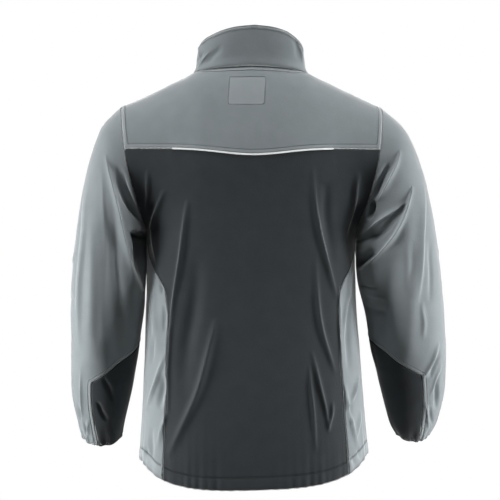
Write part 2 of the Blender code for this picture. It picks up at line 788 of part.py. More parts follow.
def add_slider(place, way, tape_face, collection, cutters):
    """Slider near the top of the zip, two lugs with a pin, and a pull tab that hangs from the pin."""
    back_y = (place - way * (tape_face - SLIDER_STANDOFF)).y
    front_y = back_y - SLIDER_THICKNESS
    x, z = place.x, place.z
    body = bmesh.new()
    box(body, (SLIDER_WIDTH, SLIDER_THICKNESS, SLIDER_HEIGHT), (x, (back_y + front_y) / 2, z))
    bmesh.ops.bevel(body, geom=body.edges, offset=SLIDER_EDGE, segments=2, affect="EDGES", profile=0.5)
    slider = add_object("zip_slider", body, DARK_METAL, collection)

    pin_y = front_y - LUG_OUT / 2
    pin_z = z + LUG_HEIGHT / 2
    lug_x = (TAB_WIDTH + LUG_WIDTH) / 2 + SEAM_GAP
    for lug_side in SIDES:
        lug = bmesh.new()
        middle = (x + lug_side * lug_x, pin_y + LUG_BURIED / 2, pin_z)
        box(lug, (LUG_WIDTH, LUG_OUT + LUG_BURIED, LUG_HEIGHT), middle)
        combine(slider, cutter("lug_" + SIDES[lug_side], lug, cutters), "UNION")
    pin = bmesh.new()
    rod(pin, PIN_RADIUS, 2 * lug_x, (x, pin_y, pin_z))
    combine(slider, cutter("pin", pin, cutters), "UNION")

    plate = bmesh.new()
    middle_z = pin_z + TAB_CROWN - TAB_LENGTH / 2
    box(plate, (TAB_WIDTH, TAB_THICKNESS, TAB_LENGTH), (x, pin_y, middle_z))
    tab = add_object("zip_pull_tab", plate, DARK_METAL, collection)
    boss = bmesh.new()
    rod(boss, TAB_CROWN, TAB_WIDTH, (x, pin_y, pin_z))
    combine(tab, cutter("tab_boss", boss, cutters), "UNION")
    eye = bmesh.new()
    rod(eye, TAB_EYE_RADIUS, 2 * TAB_WIDTH, (x, pin_y, pin_z))
    combine(tab, cutter("tab_eye", eye, cutters), "DIFFERENCE")


def add_zip(edges, collection, cutters):
    path, ways = zip_path(edges)
    faces = tape_depths(path)
    add_strip("zip_tape", path, faces, ways, TAPE_HALF_WIDTH, TAPE_THICKNESS, BLACK_TAPE, collection)
    top = path[-1]
    place = top + (path[-2] - top).normalized() * SLIDER_BELOW_TOP
    chain_top = place.z - SLIDER_HEIGHT / 2 - SEAM_GAP
    kept = [n for n in range(len(path)) if path[n].z < chain_top - CHAIN_LAST_CELL]
    part = (chain_top - path[kept[-1]].z) / (path[kept[-1] + 1].z - path[kept[-1]].z)
    chain = [path[n] for n in kept] + [path[kept[-1]].lerp(path[kept[-1] + 1], part)]
    chain_ways = [ways[n] for n in kept] + [ways[kept[-1]]]
    chain_faces = [faces[n] - SEAM_GAP - CHAIN_THICKNESS for n in kept]
    chain_faces.append(faces[-1] - SEAM_GAP - CHAIN_THICKNESS)
    add_strip("zip_chain", chain, chain_faces, chain_ways, CHAIN_HALF_WIDTH, CHAIN_THICKNESS,
              BLACK_PLASTIC, collection)
    add_slider(place, ways[-1], faces[-1], collection, cutters)


def main():
    for old in list(bpy.data.objects):
        bpy.data.objects.remove(old)
    collection = bpy.data.collections.new(OBJECT_NAME)
    cutters = bpy.data.collections.new("cutters")
    bpy.context.scene.collection.children.link(collection)
    bpy.context.scene.collection.children.link(cutters)
    cloth, edges = build_cloth()
    cut_panels(cloth, collection)
    add_piping(cloth, edges, collection)
    add_bindings(cloth, edges, collection)
    add_zip(edges, collection, cutters)
    cloth.bm.free()


main()
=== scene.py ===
# %% [markdown]
# # A fleece jacket, filled out as if somebody wore it
# The jacket is seen from behind: grey shoulders, sleeves and sides, and a near-black back that drops
# into a tail. The imported model holds plain walls of cloth in the right places. This lesson lays finer
# cloth on the same forms, creases it, and then sews it: seams, stitches, piping and a zip.

# %% Load the imported model
import json
import math

import bmesh
import bpy
import numpy as np
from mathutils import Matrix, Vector
from mathutils.bvhtree import BVHTree
from mathutils.kdtree import KDTree

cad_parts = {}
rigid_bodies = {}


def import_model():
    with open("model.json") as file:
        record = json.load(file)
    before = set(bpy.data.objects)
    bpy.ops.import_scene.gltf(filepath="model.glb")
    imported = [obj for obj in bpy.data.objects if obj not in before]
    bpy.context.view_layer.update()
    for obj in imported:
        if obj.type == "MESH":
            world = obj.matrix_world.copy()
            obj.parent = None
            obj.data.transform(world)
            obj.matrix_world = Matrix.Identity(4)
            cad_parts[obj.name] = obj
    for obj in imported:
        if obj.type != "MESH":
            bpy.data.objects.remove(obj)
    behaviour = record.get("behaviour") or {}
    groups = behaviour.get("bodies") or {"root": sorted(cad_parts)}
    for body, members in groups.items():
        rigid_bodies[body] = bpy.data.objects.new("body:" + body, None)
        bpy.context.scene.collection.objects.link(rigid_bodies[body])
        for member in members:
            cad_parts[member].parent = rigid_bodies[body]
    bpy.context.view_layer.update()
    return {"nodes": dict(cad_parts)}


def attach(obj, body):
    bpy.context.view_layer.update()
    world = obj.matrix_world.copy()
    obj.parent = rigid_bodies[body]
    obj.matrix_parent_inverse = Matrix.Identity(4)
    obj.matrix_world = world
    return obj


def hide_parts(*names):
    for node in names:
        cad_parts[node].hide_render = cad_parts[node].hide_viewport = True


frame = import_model()
MM = 0.001

# %% [markdown]
# ## Camera
# The photograph was taken level with the middle of the jacket and almost straight behind it, from
# about three metres, so that near and far parts keep nearly the same scale. One pixel is then about
# 1.85 mm on the jacket, which gives the lens.

# %% Camera behind the jacket
PHOTO_PIXELS = 500
PIXEL_MM = 1.85
CAMERA_AZIMUTH = math.radians(178)
CAMERA_DISTANCE = 3.0
CAMERA_HEIGHT = -0.326
CAMERA_ASIDE = 0.00185
SENSOR_MM = 36.0

camera_data = bpy.data.cameras.new("camera")
camera_data.sensor_width = SENSOR_MM
camera_data.lens = SENSOR_MM * CAMERA_DISTANCE / (PHOTO_PIXELS * PIXEL_MM * MM)
camera = bpy.data.objects.new("camera", camera_data)
camera.location = (
    CAMERA_ASIDE + CAMERA_DISTANCE * math.sin(CAMERA_AZIMUTH),
    -CAMERA_DISTANCE * math.cos(CAMERA_AZIMUTH),
    CAMERA_HEIGHT,
)
camera.rotation_euler = (math.radians(90), 0.0, CAMERA_AZIMUTH)
bpy.context.scene.collection.objects.link(camera)
bpy.context.scene.camera = camera
print("lens", round(camera_data.lens, 1), "mm")

# %% [markdown]
# ## The sizes of the jacket
# A pattern cutter writes a garment down as a short table of widths and depths at a few heights. The
# same tables shaped the solids, in millimetres, so cloth made from them lands exactly on its solid.
# A table is read smoothly between its rows; NumPy reads it for thousands of points at once.

# %% Table reader and small helpers
def mix(a, b, t):
    return a + (b - a) * t


def ease(t):
    t = np.clip(t, 0.0, 1.0)
    return t * t * (3 - 2 * t)


def point(x, y, z):
    return np.stack(np.broadcast_arrays(x, y, z), axis=-1).astype(float)


class SizeTable:
    """Rows of sizes; a column is read smoothly anywhere along the first column."""

    def __init__(self, columns, rows):
        rows = np.array(sorted(rows), dtype=float)
        self.places = rows[:, 0]
        self.columns = dict(zip(columns, rows.T))
        steps = np.arange(len(rows))
        self.before = np.maximum(steps - 1, 0)
        self.after = np.minimum(steps + 1, len(rows) - 1)

    def at(self, name, place):
        values, places = self.columns[name], self.places
        rise = values[self.after] - values[self.before]
        slopes = rise / (places[self.after] - places[self.before])
        place = np.clip(place, places[0], places[-1])
        n = np.clip(np.searchsorted(places, place) - 1, 0, len(places) - 2)
        span = places[n + 1] - places[n]
        t = (place - places[n]) / span
        start = values[n] * (1 + 2 * t) * (1 - t) ** 2 + slopes[n] * span * t * (1 - t) ** 2
        end = values[n + 1] * t * t * (3 - 2 * t) + slopes[n + 1] * span * t * t * (t - 1)
        return start + end


print("a quarter of the way, eased:", round(float(ease(0.25)), 3))

# %% Size tables, in millimetres and degrees
BODY = SizeTable(("z", "half_width", "back", "front", "sway"), (
    (-760.0, 211.0, 128.0, 126.0, -5.6),
    (-706.0, 210.5, 128.0, 128.0, -5.4),
    (-620.0, 205.0, 123.0, 131.0, -4.0),
    (-500.0, 198.0, 113.0, 135.0, -2.0),
    (-400.0, 193.6, 112.0, 143.0, -0.5),
    (-289.0, 192.0, 120.0, 150.0, 0.0),
))
BACK_SEAM = SizeTable(("z", "angle"), (
    (-760.0, 49.0), (-620.0, 49.0), (-500.0, 49.0), (-410.0, 49.5),
    (-385.0, 52.0), (-359.0, 58.5), (-324.0, 71.5), (-289.0, 85.5),
))
NECK_SEAM = SizeTable(("angle", "z"), (
    (0.0, 7.0), (60.0, 3.0), (90.0, -4.0), (108.0, -12.0), (150.0, -40.0), (180.0, -49.0),
))
COLLAR_TOP = SizeTable(("angle", "z"), (
    (0.0, 82.0), (24.0, 78.0), (55.0, 66.5), (90.0, 55.0), (130.0, 40.0), (180.0, 29.0),
))
SLEEVE = SizeTable(
    ("step", "inner_x", "inner_z", "outer_x", "outer_z", "back", "front", "middle_y", "lean", "bow",
     "right_inner", "right_outer"), (
        (0, 192.5, -291.0, 239.0, -63.0, 82.0, 76.0, 0.0, 0.0, 9.0, 0.0, 1.0),
        (1, 194.5, -303.0, 269.0, -93.0, 83.0, 82.0, 3.0, 0.0, 6.0, 0.0, 6.0),
        (2, 194.6, -313.0, 284.0, -122.5, 82.0, 84.0, 7.0, 0.0, 3.0, 0.0, 11.0),
        (3, 194.2, -327.0, 299.0, -167.0, 80.0, 84.0, 11.0, 0.0, 1.0, 0.0, 13.0),
        (4, 194.0, -343.0, 308.0, -211.0, 78.0, 82.0, 14.0, 0.0, 0.0, 0.0, 16.0),
        (5, 194.0, -362.0, 318.5, -270.5, 76.0, 80.0, 15.0, 0.0, 0.0, 0.5, 18.0),
        (6, 195.4, -394.0, 328.0, -359.3, 74.0, 76.0, 12.0, 0.0, 0.0, 4.0, 21.0),
        (7, 198.5, -440.0, 331.8, -437.0, 72.0, 70.0, -3.0, 5.0, 0.0, 12.5, 26.0),
        (8, 207.5, -512.0, 332.5, -512.2, 66.0, 62.0, -20.0, 15.0, 0.0, 17.0, 32.0),
        (9, 220.5, -585.0, 333.5, -585.4, 58.0, 54.0, -48.0, 22.0, 0.0, 25.0, 33.0),
        (10, 233.5, -641.0, 325.0, -641.0, 49.0, 46.0, -76.0, 27.0, 0.0, 28.0, 33.5),
        (11, 241.0, -676.0, 318.0, -675.0, 41.0, 38.0, -94.0, 29.0, 0.0, 33.0, 33.0),
    ))
FOREARM_PANEL = {
    1: {"inner_step": 7.72, "outer_step": 8.50, "turn_angle": 108.0, "cuff_angle": 98.0},
    -1: {"inner_step": 7.64, "outer_step": 8.36, "turn_angle": 103.0, "cuff_angle": 103.0},
}
SIDES = {1: "left", -1: "right"}
print("sleeve sections:", len(SLEEVE.places), "body sections:", len(BODY.places))

# %% [markdown]
# ## Points on the jacket
# Each part of the jacket is a rule that turns a height and an angle into a point: the body is a
# rounded box in plan, the sleeve a bent oval tube. Rules like these could be drawn as curves and
# lofted by hand, but as functions they can be asked for any number of points.

# %% Points on the sleeve, body and neck
BODY_SQUARENESS = 2.4
FRONT_EDGE = 6.0
ARMHOLE_CORNER = 10.0
SHOULDER_TURN = 197.0
NECK_HALF_WIDTH = 100.5
NECK_BACK = 56.0
NECK_FRONT = 92.0


def sleeve_point(side, step, angle):
    """Point on the sleeve: 0 degrees at its inner edge, 90 behind, 180 at its outer edge."""
    size = {name: SLEEVE.at(name, step) for name in SLEEVE.columns}
    right = 1.0 if side < 0 else 0.0
    inner_x = size["inner_x"] + right * size["right_inner"]
    outer_x = size["outer_x"] + right * size["right_outer"]
    turn = np.radians(angle)
    out = (1 - np.cos(turn)) / 2
    depth = np.where(np.sin(turn) > 0, size["back"], size["front"]) * np.sin(turn)
    lean = np.radians(size["lean"])
    x = mix(inner_x, outer_x, out) + size["bow"] * np.sin(turn) ** 2
    y = size["middle_y"] + depth * np.cos(lean)
    z = mix(size["inner_z"], size["outer_z"], out) - depth * np.sin(lean)
    return point(side * x, y, z)


def armhole_point(side, angle):
    return sleeve_point(side, 0.0, angle)


def rounded(value):
    return np.abs(value) ** (2 / BODY_SQUARENESS)


def body_point(side, z, angle):
    """Point on the body below the underarm: 0 degrees at the middle of the back."""
    turn = np.radians(angle)
    depth = np.where(angle < 90, BODY.at("back", z), -BODY.at("front", z))
    x = side * BODY.at("half_width", z) * rounded(np.sin(turn)) + BODY.at("sway", z)
    return point(x, depth * rounded(np.cos(turn)), z)


def front_edge_angle(z):
    part = FRONT_EDGE / BODY.at("half_width", z)
    return 180.0 - np.degrees(np.arcsin(part ** (BODY_SQUARENESS / 2)))


def neck_point(side, angle):
    turn = np.radians(angle)
    depth = np.where(angle < 90, NECK_BACK, NECK_FRONT)
    return point(side * NECK_HALF_WIDTH * np.sin(turn), depth * np.cos(turn), NECK_SEAM.at("z", angle))


UNDERARM_Z = float(armhole_point(1, ARMHOLE_CORNER)[2])
NECK_LAST_ANGLE = 180.0 - math.degrees(math.asin(FRONT_EDGE / NECK_HALF_WIDTH))
NECK_TURN_ANGLE = math.degrees(math.acos(armhole_point(1, SHOULDER_TURN)[1] / NECK_FRONT))
print("underarm at", round(UNDERARM_Z, 1), "mm")

# %% [markdown]
# ## Grids of cloth
# A grid is rows and columns of points that follow the run of the cloth: up the back, over the
# shoulder, down the sleeve. Creases need a point every three millimetres or so. Every grid is made
# for one half and joined to its twin, so the middle of the back has no seam.

# %% Body from the hem to the underarm
HEM_Z = -706.0
TAIL_DROP = 47.0
TAIL_ANGLE = 76.0
TAIL_FLATNESS = 2.6
TAIL_CORNER = 1.3
TAIL_FADE = 1.5
HEM_TILT = 0.026
UNDERARM_SHARE = 2 / 15
UNDERARM_CELLS = 12
FRONT_CROWDING = 0.55
BACK_SHARES = np.linspace(0, 1, 73)
EVEN_SHARES = np.linspace(0, 1, 65)
CROWDED = (1 - FRONT_CROWDING) * EVEN_SHARES + FRONT_CROWDING * EVEN_SHARES ** 2
FRONT_SHARES = np.r_[
    np.linspace(0, UNDERARM_SHARE, UNDERARM_CELLS + 1), mix(UNDERARM_SHARE, 1, CROWDED)[1:]]
LOWER_UPS = np.linspace(0, 1, 141)
CORNER = len(BACK_SHARES) - 1
CORNER_REACH = 12
CORNER_DEPTH = 0.08


def tail(angle):
    part = np.clip(angle / TAIL_ANGLE, 0, 1)
    return TAIL_DROP * (1 - part ** TAIL_FLATNESS) ** TAIL_CORNER


def lower_half(side):
    """One half from the middle of the back to the zip; its top row meets the armhole."""
    up = LOWER_UPS[:, None]
    z = mix(HEM_Z, UNDERARM_Z, up)
    top, low = BACK_SEAM.columns["angle"][-1], BACK_SEAM.columns["angle"][0]
    sewn = BACK_SEAM.at("angle", z)
    last = front_edge_angle(z)
    under = mix(top, 180 - top, FRONT_SHARES / UNDERARM_SHARE)
    before = mix(180 - top, last, (FRONT_SHARES - UNDERARM_SHARE) / (1 - UNDERARM_SHARE))
    upper = np.where(FRONT_SHARES <= UNDERARM_SHARE, under, before)
    front = mix(upper, mix(sewn, last, FRONT_SHARES), (top - sewn) / (top - low))
    angles = np.hstack([front[:, :1] * BACK_SHARES[:-1], front])
    drop = tail(angles) + HEM_TILT * body_point(side, z, angles)[..., 0]
    grid = body_point(side, z - drop * (1 - up) ** TAIL_FADE, angles)
    arc = armhole_point(side, np.linspace(ARMHOLE_CORNER, -ARMHOLE_CORNER, UNDERARM_CELLS + 1))
    pull = np.zeros_like(grid[-1])
    end = CORNER + UNDERARM_CELLS
    pull[CORNER:end + 1] = arc - grid[-1, CORNER:end + 1]
    pull[:CORNER] = pull[CORNER] * BACK_SHARES[:-1, None] ** CORNER_REACH
    pull[end:] = pull[end] * np.linspace(1, 0, len(pull) - end)[:, None] ** CORNER_REACH
    return grid + pull * ease((up - 1 + CORNER_DEPTH) / CORNER_DEPTH)[..., None]


def both(left, right):
    """Two halves that start in the middle, joined from the left end to the right end."""
    return np.concatenate([left[:, ::-1], right[:, 1:]], axis=1)


lower = {side: lower_half(side) for side in SIDES}
print("lower body:", both(lower[1], lower[-1]).shape[:2], "points")

# %% Softening below the corner of neck and shoulder
SOFTEN_PASSES = 300
SOFTEN_SHARE = 0.48
SOFTEN_DEPTH = 0.2


def soften(grid, shares, corner_share):
    """The corner between neck and shoulder seams dies away in the cloth below it."""
    soft = grid.copy()
    for _ in range(SOFTEN_PASSES):
        soft[:, 1:-1] = (soft[:, :-2] + 2 * soft[:, 1:-1] + soft[:, 2:]) / 4
    near = ease(1 - np.abs(shares - corner_share) / SOFTEN_SHARE)
    below = np.linspace(1, 0, len(grid))[:, None]
    weight = near * ease(below / SOFTEN_DEPTH) * ease((1 - below) / SOFTEN_DEPTH)
    return mix(grid, soft, weight[..., None])


print("softened within", SOFTEN_SHARE, "of the width of a half")

# %% Upper back with the yoke, and upper fronts
YOKE_Z = -144.0
YOKE_DIP = 13.0
YOKE_DIP_HALF_WIDTH = 150.0
ARMHOLE_PULL = 2.0
NECK_SWEEP = 0.5
NECK_SPREAD = 0.8
BELOW_ROWS = 44
YOKE_ROWS = 60
FRONT_ROWS = 84
SEAM_SEARCH = (0.02, 0.8)
SEARCH_STEPS = 30
DOME_COLUMNS = ("neck_share", "first_angle", "neck_arc", "shoulder_arc", "corner", "fullness")
DOMES = {
    "back": (8 / 16, 0.0, 60.0, 102.0, ARMHOLE_CORNER, 11.0),
    "front": (5 / 13, NECK_LAST_ANGLE, 48.0, 78.0, 360.0 - ARMHOLE_CORNER, -6.0),
}


def dome_half(side, facing, starts, shares):
    """Upper back or front of one half, from the underarm row to the neck and shoulder seams."""
    size = dict(zip(DOME_COLUMNS, DOMES[facing]))
    part = np.clip(shares / size["neck_share"], 0, 1) ** NECK_SPREAD
    shoulder = np.clip((shares - size["neck_share"]) / (1 - size["neck_share"]), 0, 1)
    neck_ends = neck_point(side, mix(size["first_angle"], NECK_TURN_ANGLE, part))
    ends = mix(neck_ends, armhole_point(side, SHOULDER_TURN), shoulder[:, None])
    arcs = np.radians(mix(size["neck_arc"], size["shoulder_arc"], ease(part)))

    def plain(n, up):
        start, end, arc = starts[n], ends[n], arcs[n]
        in_turn = (np.cos(arc * up) - np.cos(arc)) / (1 - np.cos(arc))
        full = size["fullness"] * np.sin(np.pi * up) * (1 - shares[n] ** 2)
        x = mix(end[..., 0], start[..., 0], (1 - up) ** mix(NECK_SWEEP, 1.0, shoulder[n]))
        y = mix(end[..., 1], start[..., 1], in_turn) + full
        z = mix(start[..., 2], end[..., 2], np.sin(arc * up) / np.sin(arc))
        return point(x, y, z)

    def place(up):
        edge = armhole_point(side, mix(size["corner"], SHOULDER_TURN, up))
        return plain(slice(None), up) + (edge - plain(-1, up)) * shares[:, None] ** ARMHOLE_PULL

    if facing == "front":
        ups = np.repeat(np.linspace(0, 1, FRONT_ROWS + 1)[:, None], len(shares), axis=1)
    else:
        low, high = (np.full(len(shares), value) for value in SEAM_SEARCH)
        for _ in range(SEARCH_STEPS):
            middle = (low + high) / 2
            found = place(middle[None])[0]
            wide = ease(np.abs(found[:, 0]) / YOKE_DIP_HALF_WIDTH)
            below = found[:, 2] < YOKE_Z - YOKE_DIP * (1 - wide)
            low, high = np.where(below, middle, low), np.where(below, high, middle)
        under_yoke = low * np.linspace(0, 1, BELOW_ROWS + 1)[:, None]
        on_yoke = mix(low, 1.0, np.linspace(0, 1, YOKE_ROWS + 1)[1:, None])
        ups = np.vstack([under_yoke, on_yoke])
    grid = place(ups)
    grid[0] = starts
    return soften(grid, shares, size["neck_share"])


back_dome = {side: dome_half(side, "back", lower[side][-1, :CORNER + 1], BACK_SHARES) for side in SIDES}
front_dome = {
    side: dome_half(side, "front", lower[side][-1, CORNER + UNDERARM_CELLS:][::-1], 1 - CROWDED[::-1])
    for side in SIDES}
print("upper back:", back_dome[1].shape[:2], "upper front:", front_dome[1].shape[:2])

# %% Sleeves
CUFF_STEP = 11.0
SETTLE_STEP = 4.0
SLEEVE_SEAM_ANGLE = -14.0
PANEL_ARCH = 0.10
PANEL_TURN = 8 / 28
CORNER_TURN = 1 / 28
UPPER_SLEEVE_ROWS = 176
FOREARM_ROWS = 64
SLEEVE_TURNS = np.r_[np.linspace(0, 0.5, 141), np.linspace(0.5, 1, 57)[1:]]


def sleeve_lay(side):
    """Step down the sleeve and angle round it of every point of the sleeve's grid."""
    panel = FOREARM_PANEL[side]
    turns = SLEEVE_TURNS
    on_panel = turns <= PANEL_TURN
    part = np.where(on_panel, turns / PANEL_TURN, (turns - PANEL_TURN) / (1 - PANEL_TURN))
    inner, outer = panel["inner_step"], panel["outer_step"]
    arched = mix(inner, outer, part) - PANEL_ARCH * np.sin(np.pi * part)
    top = np.where(on_panel, arched, mix(outer, inner, part))
    upper = top * np.linspace(0, 1, UPPER_SLEEVE_ROWS + 1)[:, None]
    fore = mix(top, CUFF_STEP, np.linspace(0, 1, FOREARM_ROWS + 1)[1:, None])
    step = np.vstack([upper, fore])
    edge = mix(panel["turn_angle"], panel["cuff_angle"], ease((step - outer) / (CUFF_STEP - outer)))
    behind = mix(SLEEVE_SEAM_ANGLE, edge, part)
    settled = np.where(on_panel, behind, mix(edge, SLEEVE_SEAM_ANGLE + 360, part))
    places = (0, CORNER_TURN, 0.5, 1 - CORNER_TURN, 1)
    corners = (0, ARMHOLE_CORNER, SHOULDER_TURN, 360 - ARMHOLE_CORNER, 360)
    return step, mix(np.interp(turns, places, corners), settled, ease(step / SETTLE_STEP))


sleeve_lays = {side: sleeve_lay(side) for side in SIDES}
sleeve = {side: sleeve_point(side, *sleeve_lays[side]) for side in SIDES}
print("sleeve:", sleeve[1].shape[:2], "points")

# %% Collar
COLLAR_TOP_HALF_WIDTH = 96.0
COLLAR_TOP_BACK = 66.0
COLLAR_TOP_FRONT = 86.0
COLLAR_FULLNESS = 2.0
COLLAR_SWAY = -4.0
# How much lower the top edge has settled beside the neck, by angle
COLLAR_DROP_ANGLES = (40.0, 62.0, 84.0, 130.0, 180.0)
COLLAR_DROP = {1: (0.0, 1.5, 6.0, 3.0, 0.0), -1: (0.0, 5.0, 11.0, 5.0, 0.0)}
# The lower edge rolls out over the neck seam, behind and at the sides: how high, how far and where it ends
ROLL_UP = 0.09
ROLL_OUT = (2.5, 7.0)
ROLL_DOWN = (0.5, 5.0)
ROLL_END = 150.0
ROLL_FADE = 60.0
TUCK_IN = 1.2
TUCK_DOWN = 5.0
COLLAR_ANGLES = np.linspace(0, NECK_LAST_ANGLE, 141)
COLLAR_UPS = np.linspace(0, 1, 43)


def collar_half(side):
    turn = np.radians(COLLAR_ANGLES)
    base = neck_point(side, COLLAR_ANGLES)
    depth = np.where(COLLAR_ANGLES < 90, COLLAR_TOP_BACK, COLLAR_TOP_FRONT)
    x = side * COLLAR_TOP_HALF_WIDTH * np.sin(turn)
    x[-1] = base[-1, 0]
    x += COLLAR_SWAY * np.maximum(np.cos(turn), 0)
    drop = np.interp(COLLAR_ANGLES, COLLAR_DROP_ANGLES, COLLAR_DROP[side])
    top = point(x, depth * np.cos(turn), COLLAR_TOP.at("z", COLLAR_ANGLES) - drop)
    up = COLLAR_UPS[:, None, None]
    outward = point(side * np.sin(turn), np.cos(turn), 0.0)
    wall = mix(base, top, up) + outward * COLLAR_FULLNESS * np.sin(np.pi * up)
    sideways = (np.sin(turn) ** 2)[:, None]
    behind = ease((ROLL_END - COLLAR_ANGLES) / ROLL_FADE)[:, None]
    roll = (up / ROLL_UP * np.exp(1 - up / ROLL_UP)) ** 2 * behind
    sag = np.array((0.0, 0.0, 1.0)) * mix(*ROLL_DOWN, sideways)
    wall = wall + roll * (outward * mix(*ROLL_OUT, sideways) - sag)
    tucked = base - outward * TUCK_IN - point(0.0, 0.0, TUCK_DOWN)
    return np.concatenate([tucked[None], wall])


collar = both(collar_half(1), collar_half(-1))
print("collar:", collar.shape[:2], "points")

# %% [markdown]
# ## Creases
# Worn cloth folds where it has too much length: across the bend of the arm, under the armpit, down
# from the shoulder blades. A cloth simulation would settle into folds of its own and not into these,
# so each fold is one row here, in the jacket's own millimetres: where it starts and ends as seen from
# one side, how far it bows, how wide and high it is (below zero for a trough), how sharp its crest is,
# which of its sides is steeper, and where along it is highest.

